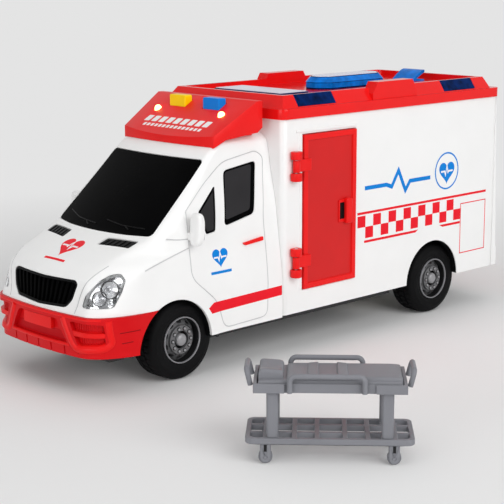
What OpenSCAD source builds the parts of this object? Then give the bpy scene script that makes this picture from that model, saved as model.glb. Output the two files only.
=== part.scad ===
// Toy ambulance with opening doors, press buttons, a flywheel drive and a wheeled stretcher.
// Millimetres. +X is forward, +Y is the left side, +Z is up.
// The origin is on the floor, in the middle of the width, just ahead of the middle of the wheelbase.

/* [Vehicle] */
// Distance between the front and rear axles
wheelbase = 173.2; // [168:0.2:178]
// Distance from the origin back to the middle of the wheelbase
wheelbase_back = 1.3; // [0:0.1:2]
// Radius of the tyres
wheel_r = 18; // [17.2:0.1:18.6]
// Distance from the middle of the toy to the outer face of a tyre
wheel_face_y = 37; // [36:0.1:38]
// Width of a tyre
tyre_w = 15; // [13:0.1:15.5]
// Radius of the rims
rim_r = 10.4; // [10:0.1:11.4]
// Radius of the axles
axle_r = 1.5; // [1.2:0.1:1.8]
// Radius of the wheel arches
arch_r = 20.4; // [19.8:0.1:21]
// Distance from the front axle forward to the middle of its wheel arch
arch_ahead = 7.2; // [4:0.1:7.6]
// Distance from the rear axle forward to the middle of its wheel arch
rear_arch_ahead = 6; // [4:0.1:6.4]

/* [Cab] */
// Length of the cab from the box to the bumper
cab_l = 107.6; // [104:0.2:112]
// Width of the cab at the sills
cab_w = 82; // [80:0.2:84]
// Height of the sills above the floor
cab_sill_z = 18.6; // [17.8:0.1:19.4]
// Height of the cab from the sills to its roof
cab_h = 85.6; // [83:0.1:88]
// Thickness of the cab's wall
cab_wall = 2; // [1.6:0.1:2.4]
// Height of the top of the red roof cap
cap_top_z = 118.7; // [117:0.1:120.5]
// Width of the roof cap along its top
cap_w = 68.4; // [66:0.2:70]
// Thickness of the roof cap
cap_wall = 2; // [1.6:0.1:2.4]
// Width of a press button
button_w = 11; // [9:0.1:12]
// Length of a press button
button_l = 4.6; // [4:0.1:6]
// Travel of a press button
button_travel = 1.5; // [1:0.1:1.6]
// Width of the windscreen along its top
screen_top_w = 60.8; // [58:0.2:61]
// Width of the windscreen along its foot
screen_foot_w = 64.8; // [62:0.2:66]
// Width of the grille along its top
grille_top_w = 43; // [40:0.2:45]
// Width of the grille along its foot
grille_foot_w = 35; // [32:0.2:38]
// Length of a headlamp
lamp_l = 18.6; // [17:0.1:19.5]
// Height of a headlamp
lamp_h = 13.8; // [12:0.1:14.5]
// Height of the top of the bumper
bumper_top_z = 35.2; // [34:0.1:36]
// Height of a door mirror
mirror_h = 14.5; // [12:0.1:16]

/* [Box] */
// Distance from the origin forward to the front of the box
box_front_x = 27.6; // [26:0.1:29]
// Length of the box
box_l = 160.8; // [158:0.2:164]
// Width of the box
box_w = 82; // [80:0.2:84]
// Height of the foot of the box above the floor
box_foot_z = 19.1; // [18.4:0.1:19.8]
// Height of the top of the box's walls above the floor
box_top_z = 110; // [107:0.2:113]
// Thickness of the box's walls
box_wall = 2; // [1.6:0.1:2.2]
// How far the step at the back of the box stands out
step_l = 3; // [2:0.1:4]
// Radius of the box's upright edges
box_edge_r = 3; // [2.2:0.1:4]
// Height of the patient floor above the ground
floor_z = 29; // [28.6:0.1:29.6]
// Thickness of the patient floor
floor_t = 1.8; // [1.4:0.1:2]

/* [Roof] */
// Height of the flange round the foot of the roof
flange_h = 4.7; // [4:0.1:5.4]
// How far the flange stands out from the walls
flange_proud = 1; // [0.6:0.1:1.4]
// Height of the sloping curb above the flange
curb_h = 5.6; // [5:0.1:6.2]
// How far the curb leans in over its height
curb_lean = 4.4; // [3.6:0.1:5]
// Width of the flat rim along the top of the curb
curb_rim_w = 2; // [1.6:0.1:2.6]
// How far the curb's foot is set in from the back of the box
curb_rear_inset = 5.2; // [4:0.1:6]
// How far the curb leans in at the back
curb_rear_lean = 2; // [1.4:0.1:3]
// Depth of the roof deck below the curb's rim
deck_depth = 3; // [2.4:0.1:3.4]
// Thickness of the roof deck
deck_t = 2; // [1.6:0.1:2.4]
// Length of a blue lens in the curb
curb_lens_l = 25.4; // [20:0.2:27]
// Thickness of a blue lens in the curb
curb_lens_t = 1.4; // [1:0.1:1.8]
// Length of the raised blocks half way along the curb
curb_block_l = 32.6; // [28:0.2:38]
// Height of the raised blocks above the flange
curb_block_h = 8.4; // [7.6:0.1:9.2]
// Length of the blue panel at the front of the deck
front_panel_l = 24.3; // [20:0.1:27]
// Width of the blue panel at the front of the deck
front_panel_w = 60; // [54:0.2:62]
// Length of the blue light bar
light_bar_l = 47.6; // [42:0.2:50]
// Width of the blue light bar
light_bar_w = 16; // [13:0.1:18]
// Height of the blue light bar
light_bar_h = 6.6; // [5.4:0.1:7.4]
// Length of the blue visor at the back of the deck
visor_l = 10.6; // [9:0.1:13]
// Height of the blue visor
visor_h = 5.8; // [5:0.1:6.6]

/* [Doors] */
// Width of the side door
side_door_w = 35.8; // [34:0.1:36.4]
// Height of the side door
side_door_h = 72.3; // [68:0.1:74]
// Height of the foot of the side door above the floor
side_door_z = 29.9; // [29.6:0.1:31]
// Distance from the front of the box back to the side door
side_door_back = 13.2; // [12.6:0.1:14]
// Thickness of a door panel
door_t = 2.2; // [1.8:0.1:2.4]
// Width of the raised border round a door
door_border_w = 2.6; // [2:0.1:3.4]
// How far the border stands out from the door panel
door_border_proud = 0.8; // [0.5:0.1:1]
// Gap between a door and its doorway
door_gap = 0.4; // [0.3:0.05:0.6]
// Height of a side door hinge
hinge_h = 13.6; // [13:0.1:17]
// Radius of a side door hinge collar
hinge_collar_r = 2.7; // [2.6:0.1:3.2]
// Radius of a hinge knuckle
knuckle_r = 1.7; // [1.5:0.05:1.75]
// Radius of a hinge pin
pin_r = 0.8; // [0.6:0.05:0.95]
// Width of the rear doorway
rear_doorway_w = 66; // [62:0.2:68]
// Height of the rear doorway
rear_doorway_h = 75; // [70:0.2:76]
// Height of the foot of the rear doorway above the floor
rear_doorway_z = 30; // [29.6:0.1:32]

/* [Chassis] */
// Height of the underside of the chassis above the floor
chassis_z = 13.9; // [13:0.1:14.2]
// Thickness of the chassis plate
chassis_t = 2.2; // [1.8:0.1:2.3]
// Width of the chassis plate
chassis_w = 62; // [58:0.2:66]
// Thickness of an axle bearing
bearing_t = 4; // [3:0.1:5]
// Radius of a battery cell
cell_r = 5.25; // [5:0.05:5.3]
// Length of a battery cell
cell_l = 44.5; // [43:0.1:45]
// Number of battery cells
cell_count = 3; // [2:1:3]
// Radius of the loudspeaker
speaker_r = 13; // [11:0.1:14]
// Height of the loudspeaker
speaker_h = 6; // [5:0.1:7]
// Travel of the power switch
switch_travel = 4; // [3:0.1:5]

/* [Gearbox] */
// Tooth module of the gears
gear_module = 0.5; // [0.46:0.01:0.52]
// Teeth on the gear fixed to the rear axle
drive_teeth = 26; // [24:1:28]
// Teeth on the large wheel of the idler
idler_teeth = 24; // [22:1:26]
// Teeth on each pinion
pinion_teeth = 12; // [12:1:13]
// Radius of the flywheel
flywheel_r = 6.4; // [5.6:0.1:6.8]
// Thickness of the flywheel
flywheel_t = 4; // [3:0.1:4.4]

/* [Stretcher] */
// Length of the stretcher's base frame
base_l = 62; // [58:0.2:66]
// Width of the stretcher's base frame
base_w = 25; // [23:0.2:27]
// Height of the underside of the base frame
base_z = 7.7; // [7.6:0.1:9]
// Thickness of the base frame
base_t = 2.3; // [2:0.1:2.8]
// Width of a bar of the base frame
base_bar_w = 1.8; // [1.4:0.1:2.2]
// Length of the tray
tray_l = 56; // [52:0.2:58]
// Height of the tray's underside
tray_z = 27.1; // [26:0.1:28.5]
// Thickness of the tray
tray_t = 3.5; // [3:0.1:4]
// Width of a leg along the stretcher
leg_l = 4.4; // [3.6:0.1:5]
// Depth of a leg across the stretcher
leg_w = 4; // [3:0.1:5]
// Radius of the rails and end handles
rail_r = 1; // [0.8:0.05:1.1]
// Height of the rails above the tray
rail_rise = 3.1; // [2.6:0.1:3.6]
// Radius of a caster wheel
caster_r = 2.6; // [2.2:0.1:2.7]
// Width of a caster wheel
caster_w = 2.2; // [1.8:0.1:2.6]
// Distance between the casters along the stretcher
caster_pitch = 47; // [44:0.2:50]
// Distance from the origin forward to the middle of the stretcher
stretcher_x = 109; // [105:0.5:125]
// Distance from the origin to the left to the middle of the stretcher
stretcher_y = 146.3; // [135:0.5:170]
// Angle that the stretcher is turned from the toy's length
stretcher_turn = 133.4; // [120:0.2:150]

/* [Hidden] */

// Named once: how far every cut runs past the solid that it cuts
overrun = 1;
// Clearances: pieces set together, pieces that run on each other, and bodies that pass each other
set_gap = 0.1;
run_gap = 0.05;
pass_gap = 0.4;
// How far a piece that stands on a plate runs into it
weld = 0.5;
$fn = 64;

// Wheels and axles
front_axle_x = wheelbase / 2 - wheelbase_back;
rear_axle_x = -wheelbase / 2 - wheelbase_back;
axle_z = wheel_r;
arch_z = wheel_r - (arch_r - wheel_r) * 0.2;
axle_half_l = wheel_face_y - tyre_w * 0.35;
tyre_shoulder_r = tyre_w * 0.15;
rim_dish_depth = tyre_w * 0.18;
rim_lip_w = rim_r * 0.1;
rim_hub_r = rim_r * 0.54;
rim_cap_r = rim_r * 0.26;
rim_hole_r = rim_r * 0.095;
rim_hole_circle_share = 0.72;
rim_hole_count = 10;
rim_hub_bore_l = tyre_w * 0.5;

// Cab places and wall
cab_rear_x = box_front_x + set_gap;
cab_half_w = cab_w / 2;
cab_top_z = cab_sill_z + cab_h;
cab_nose_x = cab_rear_x + cab_l;
glass_t = 1.4;
glass_sink = 0.2;
ring_half_steps = 10;

// The cab's outline, level by level: the first number of a row is a share of the cab's height.
// The second is a share of the cab's length for the nose, and of its half width for the others.
nose_shares = [[0, 0.993], [0.13, 1], [0.194, 0.998], [0.232, 0.987], [0.355, 0.968], [0.39, 0.945],
  [0.426, 0.908], [0.454, 0.866], [0.474, 0.832], [0.495, 0.792], [0.513, 0.757], [0.53, 0.725],
  [0.548, 0.699], [0.565, 0.683], [0.721, 0.542], [0.889, 0.388], [0.916, 0.364], [0.939, 0.339],
  [0.968, 0.295], [0.988, 0.234], [1, 0.15]];
half_width_shares = [[0, 1], [0.19, 0.997], [0.38, 0.955], [0.46, 0.932], [0.604, 0.895], [0.822, 0.802],
  [0.892, 0.776], [0.953, 0.746], [0.973, 0.707], [0.99, 0.644], [1, 0.585]];
bow_shares = [[0.2, 0.11], [0.355, 0.122], [0.46, 0.159], [0.5, 0.166], [0.56, 0.146], [0.72, 0.122],
  [0.89, 0.073]];
corner_length_shares = [[0, 0.62], [0.2, 0.537], [0.355, 0.463], [0.39, 0.44], [0.426, 0.52],
  [0.465, 0.71], [0.5, 0.56], [0.53, 0.38], [0.56, 0.24], [0.65, 0.146], [0.72, 0.122], [0.89, 0.098]];
corner_width_shares = [[0, 0.36], [0.2, 0.293], [0.355, 0.341], [0.39, 0.317], [0.426, 0.268],
  [0.465, 0.244], [0.5, 0.195], [0.53, 0.146], [0.56, 0.122], [0.65, 0.098], [0.72, 0.085], [0.89, 0.049],
  [0.95, 0.049], [1, 0.073]];
cab_levels = [for (row = nose_shares) row[0]];

// Windscreen: its top and foot as shares of the cab's height, with a foot that bulges down in the middle
screen_top_share = 0.889;
screen_foot_share = 0.558;
screen_bulge = screen_foot_w * 0.018;

// Side windows as shares of the cab's length from its back and of its height from the sill
big_window_shares = [[0.27, 0.824], [0.083, 0.854], [0.134, 0.587], [0.303, 0.548]];
quarter_window_shares = [[0.332, 0.755], [0.436, 0.638], [0.405, 0.522], [0.357, 0.53]];

// Grille, vents and lamps
grille_top_share = 0.355;
grille_foot_share = 0.234;
grille_slats = 13;
grille_sink = 0.5;
grille_t = 2;
grille_slot_share = 0.5;
vent_outline_shares = [[0.705, 0.715], [0.736, 0.327], [0.78, 0.31], [0.747, 0.7]];
vent_t = 1.2;
lamp_turn = 45;
lamp_setback = 3.7;
lamp_inner_y = 27;
lamp_foot_share = 0.242;
lamp_outline_shares = [[0, 0.02], [0.735, 0], [1, 0.775], [0.93, 0.93], [0.81, 1],
  [0.355, 0.68], [0.12, 0.3]];
lens_t = 1.2;
reflector_t = 1.4;

// Bumper
bumper_proud = 0.8;
bumper_t = 3;
bumper_foot_z = cab_sill_z - bumper_proud * 1.4;
bumper_h = bumper_top_z - bumper_foot_z;
bumper_foot_share = (bumper_foot_z - cab_sill_z) / cab_h;
bumper_top_share = (bumper_top_z - cab_sill_z) / cab_h;
cut_share = overrun / cab_h;
bumper_levels = [bumper_foot_share, bumper_foot_share * 0.3 + bumper_top_share * 0.7, bumper_top_share];
bumper_cut_levels = concat([bumper_foot_share - cut_share], bumper_levels, [bumper_top_share + cut_share]);
scoop_w = cab_half_w * 0.36;
scoop_y = cab_half_w * 0.63;
scoop_depth = bumper_t * 0.5;
plate_w = cab_half_w * 0.44;
plate_t = bumper_t * 0.4;

// Roof cap: places along its length from the cab's back
cap_slope_l = cab_l * 0.085;
cap_brow_l = cab_l * 0.327;
cap_lip_z = cab_sill_z + cab_h * 0.988;
cap_foot_z = cab_sill_z + cab_h * 0.93;
cap_foot_rise = cab_h * 0.06;
cap_rear_x = cab_rear_x + cab_l * 0.056;
cap_turn_x = cab_rear_x + cab_l * 0.245;
cap_front_w = cap_w * 0.9;
cap_foot_w = cap_w * 0.91;
cap_bow = cap_w * 0.035;
cap_slope_x = cab_rear_x + cap_slope_l;
cap_brow_x = cab_rear_x + cap_brow_l;
cap_pitch = (cap_top_z - cap_lip_z) / (cap_brow_x - cap_slope_x);

// Press buttons: standing on the slope of the cap, their tops level with its top
button_y = button_w * 1.05;
button_front_x = cap_slope_x + cap_slope_l * 0.85;
button_top_z = cap_top_z + button_travel * 0.3;
button_gap = 0.3;
board_t = 1;
board_z = cab_top_z + set_gap;
switch_h = 0.7;
switch_w = button_l * 0.6;
button_foot_z = board_z + board_t + switch_h + button_travel + set_gap;
button_flange_w = 0.8;
button_flange_t = 1.4;
lamp_dome_r = 1.6;
lamp_dome_y = cap_w * 0.32;
lamp_dome_x = button_front_x + lamp_dome_r * 1.8;
lamp_dome_z = cap_top_z - (lamp_dome_x - cap_slope_x) * cap_pitch;

// Door mirrors
mirror_w = mirror_h * 0.5;
mirror_t = mirror_h * 0.3;
mirror_x = cab_rear_x + cab_l * 0.495;
mirror_z = cab_sill_z + cab_h * 0.568;
mirror_y = cab_half_w * 1.02;
mirror_side_y = cab_half_w * lookup((mirror_z - cab_sill_z) / cab_h, half_width_shares);

// Box
box_rear_x = box_front_x - box_l;
box_mid_x = box_front_x - box_l / 2;
box_half_w = box_w / 2;
floor_foot_z = floor_z - floor_t;
well_margin = 1;
well_side_gap = 1.8;
well_t = 1.2;
well_w = tyre_w + 2 * well_side_gap;
rear_arch_x = rear_axle_x + rear_arch_ahead;
rear_arch_z = box_foot_z;
well_rear_x = rear_axle_x - wheel_r - well_margin;
well_l = rear_arch_x + arch_r + well_margin - well_rear_x;
well_top_z = rear_arch_z + arch_r + well_t;
post_w = box_edge_r * 0.8;
post_l = step_l * 0.75;
front_arch_x = front_axle_x + arch_ahead;
stop_t = 1.2;
stop_w = 1.5;

// Side door and its hinges
side_door_front_x = box_front_x - side_door_back;
side_door_rear_x = side_door_front_x - side_door_w;
side_door_mid_x = side_door_front_x - side_door_w / 2;
side_door_mid_z = side_door_z + side_door_h / 2;
door_inner_y = box_half_w - box_wall;
door_outer_y = door_inner_y + door_t;
hinge_x = box_front_x - side_door_back * 0.52;
hinge_gap = 0.3;
hinge_y = box_half_w + knuckle_r + hinge_gap;
hinge_zs = [side_door_z + side_door_h * 0.19, side_door_z + side_door_h * 0.81];
collar_h = hinge_h * 0.27;
strap_t = 1.4;
strap_l = side_door_back * 0.28;
handle_w = side_door_w * 0.2;
handle_h = side_door_h * 0.17;
handle_t = door_t * 1.3;
handle_x = side_door_rear_x + door_border_w + set_gap + handle_w / 2;
handle_z = side_door_z + side_door_h * 0.465;
grip_slot_w = handle_w * 0.42;
grip_slot_h = handle_h * 0.72;

// Rear doors and their hinges
rear_hinge_x = box_rear_x - knuckle_r - pass_gap;
rear_hinge_y = rear_doorway_w / 2 + knuckle_r * 1.5;
rear_hinge_zs = [rear_doorway_z + rear_doorway_h * 0.2, rear_doorway_z + rear_doorway_h * 0.8];
rear_knuckle_h = rear_doorway_h * 0.08;
rear_collar_h = rear_knuckle_h * 0.6;
rear_door_w = rear_doorway_w / 2 - door_gap * 1.5;
rear_door_h = rear_doorway_h - 2 * door_gap;
rear_door_inner_x = box_rear_x + box_wall;
rear_door_outer_x = rear_door_inner_x - door_t;
rear_strap_l = rear_doorway_w * 0.05;
tail_lamp_l = box_w * 0.13;
tail_lamp_h = (floor_z - box_foot_z) * 0.54;
tail_lamp_t = 1.2;

// Roof
flange_top_z = box_top_z + flange_h;
curb_top_z = flange_top_z + curb_h;
deck_z = curb_top_z - deck_depth;
curb_foot_inset = 0.5;
roof_l = box_l + 2 * flange_proud;
roof_w = box_w + 2 * flange_proud;
front_lens_x = box_front_x - box_l * 0.15;
rear_lens_x = box_front_x - box_l * 0.81;
curb_block_x = box_front_x - box_l * 0.486;
curb_block_w = curb_lean * 1.7;
front_panel_x = box_front_x - box_l * 0.137;
front_panel_proud = 0.7;
front_panel_h = deck_depth + front_panel_proud;
light_bar_x = box_front_x - box_l * 0.531;
light_bar_chamfer = light_bar_w * 0.3;
visor_x = box_front_x - box_l * 0.847;
visor_w = light_bar_w * 0.89;
visor_t = visor_h * 0.24;
deck_bevel_share = 0.3;

// Chassis
chassis_top_z = chassis_z + chassis_t;
chassis_rear_x = box_rear_x + box_wall * 2;
chassis_front_x = cab_nose_x - cab_l * 0.13;
notch_margin = 3;
notch_gap = 1.5;
wheel_notch_l = 2 * (wheel_r + notch_margin);
notch_half_w = wheel_face_y - tyre_w - notch_gap;
bearing_y = notch_half_w - bearing_t / 2 - notch_gap;
bearing_l = axle_r * 5;
bearing_rise = axle_r * 2.4;
boss_r = 3.4;
screw_r = 1.2;
screw_head_r = 2.3;
screw_head_t = 1.4;
screw_xs = [box_front_x - box_l * 0.07, box_front_x - box_l * 0.52];
boss_inset = 1.6;
screw_y = chassis_w / 2 - boss_r - boss_inset;
liner_t = 1.2;
liner_r = arch_r + arch_ahead / 2;
liner_x = front_axle_x + arch_ahead / 2;
cab_tab_x = cab_rear_x + cab_l * 0.24;
cab_tab_l = cab_l * 0.09;
cab_tab_h = cab_wall * 2.5;
cab_tab_z = cab_sill_z + cab_wall;

// Batteries, switch, loudspeaker and board
cell_gap = 0.3;
cell_pitch = 2 * cell_r + cell_gap;
bay_l = cell_count * cell_pitch + 2 * cell_gap;
bay_w = cell_l + 2 * cell_gap;
bay_x = box_front_x - box_l * 0.2;
bay_wall = 1.2;
cover_lap = 2;
cover_t = chassis_t * 0.68;
cell_z = chassis_z + cover_t + set_gap + cell_r;
bay_top_z = cell_z + cell_r;
switch_x = cab_rear_x + cab_l * 0.06;
switch_y = -chassis_w * 0.24;
switch_l = 5;
switch_knob_w = 3.4;
switch_flange = 1.8;
switch_flange_t = 1.2;
switch_drop = 1.2;
switch_slot_l = switch_l + switch_travel + 2 * pass_gap;
switch_flange_l = switch_slot_l + switch_travel + switch_flange;
speaker_x = cab_rear_x + cab_l * 0.18;
speaker_y = chassis_w * 0.16;
speaker_cone_share = 0.72;
speaker_slots = 5;
speaker_slot_w = 1.4;
board_l = cab_l * 0.19;
board_w = chassis_w * 0.4;
pcb_t = 1.2;
pcb_x = cab_nose_x - cab_l * 0.24;
pcb_z = chassis_top_z + speaker_h;
pcb_post_r = 1.6;
chip_l = board_l * 0.35;
chip_t = 1.4;

// Gears: 25 degree teeth with a little backlash
pressure_angle = 25;
gear_backlash = gear_module * 0.24;
gear_addendum = gear_module * 0.9;
gear_dedendum = gear_module * 1.2;
flank_steps = 4;
drive_gear_t = 3;
pinion_t = 4;
idler_gear_t = 2.5;
gear_side_gap = 0.5;
journal_r = 1;
idler_x = rear_axle_x + gear_module * (drive_teeth + pinion_teeth) / 2;
flywheel_x = idler_x + gear_module * (idler_teeth + pinion_teeth) / 2;
idler_gear_y = pinion_t / 2 + gear_side_gap;
flywheel_y = -pinion_t / 2 - gear_side_gap * 2;
case_wall = 1.5;
case_inner_half_w = flywheel_t - flywheel_y + gear_side_gap * 2;
case_half_w = case_inner_half_w + case_wall;
case_margin = 1.2;
case_rear_x = rear_axle_x - gear_module * drive_teeth / 2 - gear_addendum - case_margin - case_wall;
case_front_x = flywheel_x + flywheel_r + case_margin + case_wall;
case_foot_z = axle_z - gear_module * drive_teeth / 2 - gear_addendum - gear_side_gap - case_wall;
case_top_z = floor_foot_z - set_gap;
case_flange_w = 3.4;
case_flange_t = 1.2;

// Stretcher, in its own frame: +X towards the foot end, +Y away from its near side
tray_w = base_w;
tray_rim_w = 1.4;
tray_pocket_depth = tray_t * 0.35;
tray_step = 0.9;
tray_top_z = tray_z + tray_t;
base_top_z = base_z + base_t;
base_corner_r = base_w * 0.12;
base_bar_shares = [-0.38, -0.21, -0.075, 0.09, 0.225, 0.385];
base_rib_y = base_w * 0.17;
leg_x = tray_l * 0.375;
leg_inset = 1.2;
leg_y = base_w / 2 - leg_w / 2 - leg_inset;
slab_l = tray_l * 0.94;
slab_w = tray_w * 0.86;
slab_t = 0.8;
mattress_l = tray_l * 0.735;
mattress_w = tray_w * 0.78;
mattress_t = 2.1;
mattress_x = tray_l * 0.105;
mattress_bevel = mattress_t * 0.55;
pillow_l = tray_l * 0.17;
pillow_h = mattress_t * 2.1;
pillow_x = -tray_l * 0.385;
rail_l = tray_l * 0.52;
rail_bend_r = rail_r * 2.2;
rail_x = -tray_l * 0.02;
rail_foot_z = tray_z + rail_r * 0.3;
rail_top_z = tray_top_z + rail_rise + rail_r;
handle_y = tray_w * 0.28;
handle_rise = tray_t * 1.7;
handle_foot_z = tray_z + tray_t * 0.45;
handle_tilt = 14;
fork_gap = 0.25;
fork_t = 0.9;
fork_l = caster_r * 1.5;
fork_inset = 0.3;
fork_block_t = base_t * 0.9;
fork_y = base_w / 2 - fork_t - fork_gap - caster_w / 2 - fork_inset;
caster_pin_r = 0.6;

// Shared shapes

module rounded_rect(l, w, r) {
  square([l - 2 * r, w], center = true);
  square([l, w - 2 * r], center = true);
  for (x = [-1, 1], y = [-1, 1])
    translate([x * (l / 2 - r), y * (w / 2 - r)])
      circle(r = r);
}

module along_x(from, to) {
  translate([from, 0, 0])
    rotate([90, 0, 90])
      linear_extrude(to - from)
        children();
}

module along_y(from, to) {
  translate([0, to, 0])
    rotate([90, 0, 0])
      linear_extrude(to - from)
        children();
}

module rod_y(x, z, r, from, to) {
  translate([x, to, z])
    rotate([90, 0, 0])
      cylinder(r = r, h = to - from);
}

module both_sides() {
  children();
  mirror([0, 1, 0])
    children();
}

// Cab outline

function cab_front_x(y, s, w, inset) =
  let (across = abs(y) / w,
    corner_w = cab_half_w * lookup(s, corner_width_shares),
    turn = max(0, (abs(y) - w + corner_w) / corner_w))
  cab_rear_x + cab_l * lookup(s, nose_shares) - inset
    - cab_half_w * lookup(s, bow_shares) * across * across
    - cab_half_w * lookup(s, corner_length_shares) * (1 - sqrt(max(0, 1 - turn * turn)));

function cab_ring(s, inset, back) =
  let (w = cab_half_w * lookup(s, half_width_shares) - inset,
    z = cab_sill_z + cab_h * s - (s > 0.25 ? inset : 0))
  concat([[back, -w, z]],
    [for (i = [-ring_half_steps:ring_half_steps])
      let (y = w * sin(90 * i / ring_half_steps))
      [cab_front_x(y, s, w, inset), y, z]],
    [[back, w, z]]);

function ring_faces(rings, points) = concat(
  [[for (i = [0:points - 1]) i]],
  [for (r = [0:rings - 2]) for (i = [0:points - 1])
    let (j = (i + 1) % points)
    [r * points + i, (r + 1) * points + i, (r + 1) * points + j, r * points + j]],
  [[for (i = [points - 1:-1:0]) (rings - 1) * points + i]]);

function levels_between(low, high) = [for (s = cab_levels) if (s >= low && s <= high) s];

module cab_form(inset, levels, back = cab_rear_x) {
  rings = [for (s = levels) cab_ring(s, inset, back)];
  polyhedron(points = [for (r = rings) for (p = r) p], faces = ring_faces(len(rings), len(rings[0])));
}

module cab_skin(sink, thick, low, high) {
  difference() {
    cab_form(sink, levels_between(low, high));
    cab_form(sink + thick, levels_between(low, high), cab_rear_x - overrun);
  }
}

function at_height(share) = cab_sill_z + cab_h * share;
function at_length(share) = cab_rear_x + cab_l * share;

module windscreen_prism(gap) {
  along_x(at_length(0.25), cab_nose_x)
    offset_outline([[-screen_foot_w / 2, at_height(screen_foot_share)],
      [0, at_height(screen_foot_share) - screen_bulge],
      [screen_foot_w / 2, at_height(screen_foot_share)],
      [screen_top_w / 2, at_height(screen_top_share)],
      [-screen_top_w / 2, at_height(screen_top_share)]], gap);
}

// An outline pushed out from its middle by a gap on each side
module offset_outline(points, gap) {
  xs = [for (p = points) p[0]];
  ys = [for (p = points) p[1]];
  mid = [(min(xs) + max(xs)) / 2, (min(ys) + max(ys)) / 2];
  span = [max(xs) - min(xs), max(ys) - min(ys)];
  polygon([for (p = points)
    [mid[0] + (p[0] - mid[0]) * (1 + 2 * gap / span[0]),
      mid[1] + (p[1] - mid[1]) * (1 + 2 * gap / span[1])]]);
}

module side_window_prisms(gap) {
  for (outline = [big_window_shares, quarter_window_shares])
    along_y(-cab_w, cab_w)
      offset_outline([for (p = outline) [at_length(p[0]), at_height(p[1])]], gap);
}

module grille_prism(gap) {
  along_x(at_length(0.8), cab_nose_x + cab_wall)
    offset_outline([[-grille_foot_w / 2, at_height(grille_foot_share)],
      [grille_foot_w / 2, at_height(grille_foot_share)],
      [grille_top_w / 2, at_height(grille_top_share)],
      [-grille_top_w / 2, at_height(grille_top_share)]], gap);
}

module vent_prisms(gap) {
  both_sides()
    translate([0, 0, at_height(0.4)])
      linear_extrude(at_height(0.6) - at_height(0.4))
        offset_outline([for (p = vent_outline_shares) [at_length(p[0]), cab_half_w * p[1]]], gap);
}

module lamp_prisms(gap) {
  inner = (lamp_inner_y - cab_nose_x + lamp_setback) * sin(lamp_turn);
  both_sides()
    rotate([0, 0, lamp_turn])
      along_x(cab_half_w, cab_nose_x * 2)
        offset_outline([for (p = lamp_outline_shares)
          [inner + lamp_l * p[0], at_height(lamp_foot_share) + lamp_h * p[1]]], gap);
}

module wheel_arch(x, z) {
  rod_y(x, z, arch_r, -box_w, box_w);
}

// Cab pieces

module cab_shell() {
  color("white")
    difference() {
      cab_form(0, cab_levels);
      cab_form(cab_wall, cab_levels, cab_rear_x - overrun);
      windscreen_prism(set_gap);
      side_window_prisms(set_gap);
      grille_prism(set_gap);
      vent_prisms(set_gap);
      lamp_prisms(set_gap);
      wheel_arch(front_arch_x, arch_z);
      translate([front_arch_x, -cab_w, cab_sill_z - overrun])
        cube([cab_l, cab_w * 2, bumper_top_z + set_gap - cab_sill_z + overrun]);
    }
}

module windscreen() {
  color("black")
    intersection() {
      cab_skin(glass_sink, glass_t, 0.5, 0.92);
      windscreen_prism(0);
    }
}

module cab_side_windows() {
  color("black")
    difference() {
      intersection() {
        cab_skin(glass_sink, glass_t, 0.49, 0.9);
        side_window_prisms(0);
      }
      windscreen_prism(set_gap);
    }
}

module grille() {
  slat_pitch = grille_top_w / grille_slats;
  slot_h = at_height(grille_top_share) - at_height(grille_foot_share) - grille_t;
  color("black")
    difference() {
      intersection() {
        cab_skin(grille_sink, grille_t, 0.19, 0.4);
        grille_prism(0);
      }
      intersection() {
        for (i = [0:grille_slats - 1])
          translate([at_length(0.8), (i - grille_slats / 2 + 0.5 - grille_slot_share / 2) * slat_pitch,
            at_height(grille_foot_share) + grille_t / 2])
            cube([cab_l, slat_pitch * grille_slot_share, slot_h]);
        difference() {
          cab_form(0, levels_between(0.19, 0.4));
          cab_form(grille_sink + grille_t / 2, levels_between(0.19, 0.4), cab_rear_x - overrun);
        }
      }
    }
}

module hood_vents() {
  color("black")
    intersection() {
      cab_skin(glass_sink, vent_t, 0.4, 0.6);
      vent_prisms(0);
    }
}

module headlamp_lenses() {
  color("white", 0.4)
    intersection() {
      cab_skin(0, lens_t, 0.19, 0.5);
      lamp_prisms(0);
    }
}

module headlamp_reflectors() {
  color("silver")
    intersection() {
      cab_skin(lens_t + set_gap, reflector_t, 0.19, 0.5);
      lamp_prisms(0);
    }
}

module bumper_scoop(from_share, to_share) {
  both_sides()
    translate([cab_rear_x + cab_l * 0.82, scoop_y - scoop_w / 2, bumper_foot_z + bumper_h * from_share])
      cube([cab_l, scoop_w, bumper_h * (to_share - from_share)]);
}

module front_bumper() {
  color("red")
    difference() {
      union() {
        difference() {
          cab_form(-bumper_proud, bumper_levels);
          cab_form(bumper_t - bumper_proud, bumper_cut_levels, cab_rear_x - overrun);
          intersection() {
            union() {
              bumper_scoop(0.3, 0.56);
              bumper_scoop(0.64, 0.9);
            }
            difference() {
              cab_form(-bumper_proud - overrun, bumper_levels);
              cab_form(scoop_depth - bumper_proud, bumper_levels, cab_rear_x - overrun);
            }
          }
        }
        translate([cab_nose_x - plate_t, -plate_w / 2, bumper_foot_z + bumper_h * 0.45])
          cube([bumper_proud + plate_t * 1.2, plate_w, bumper_h * 0.42]);
      }
      wheel_arch(front_arch_x, arch_z);
      translate([cab_rear_x - overrun, -cab_w, bumper_foot_z - overrun])
        cube([front_arch_x - cab_rear_x + overrun, cab_w * 2, bumper_h + overrun * 2]);
    }
}

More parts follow.
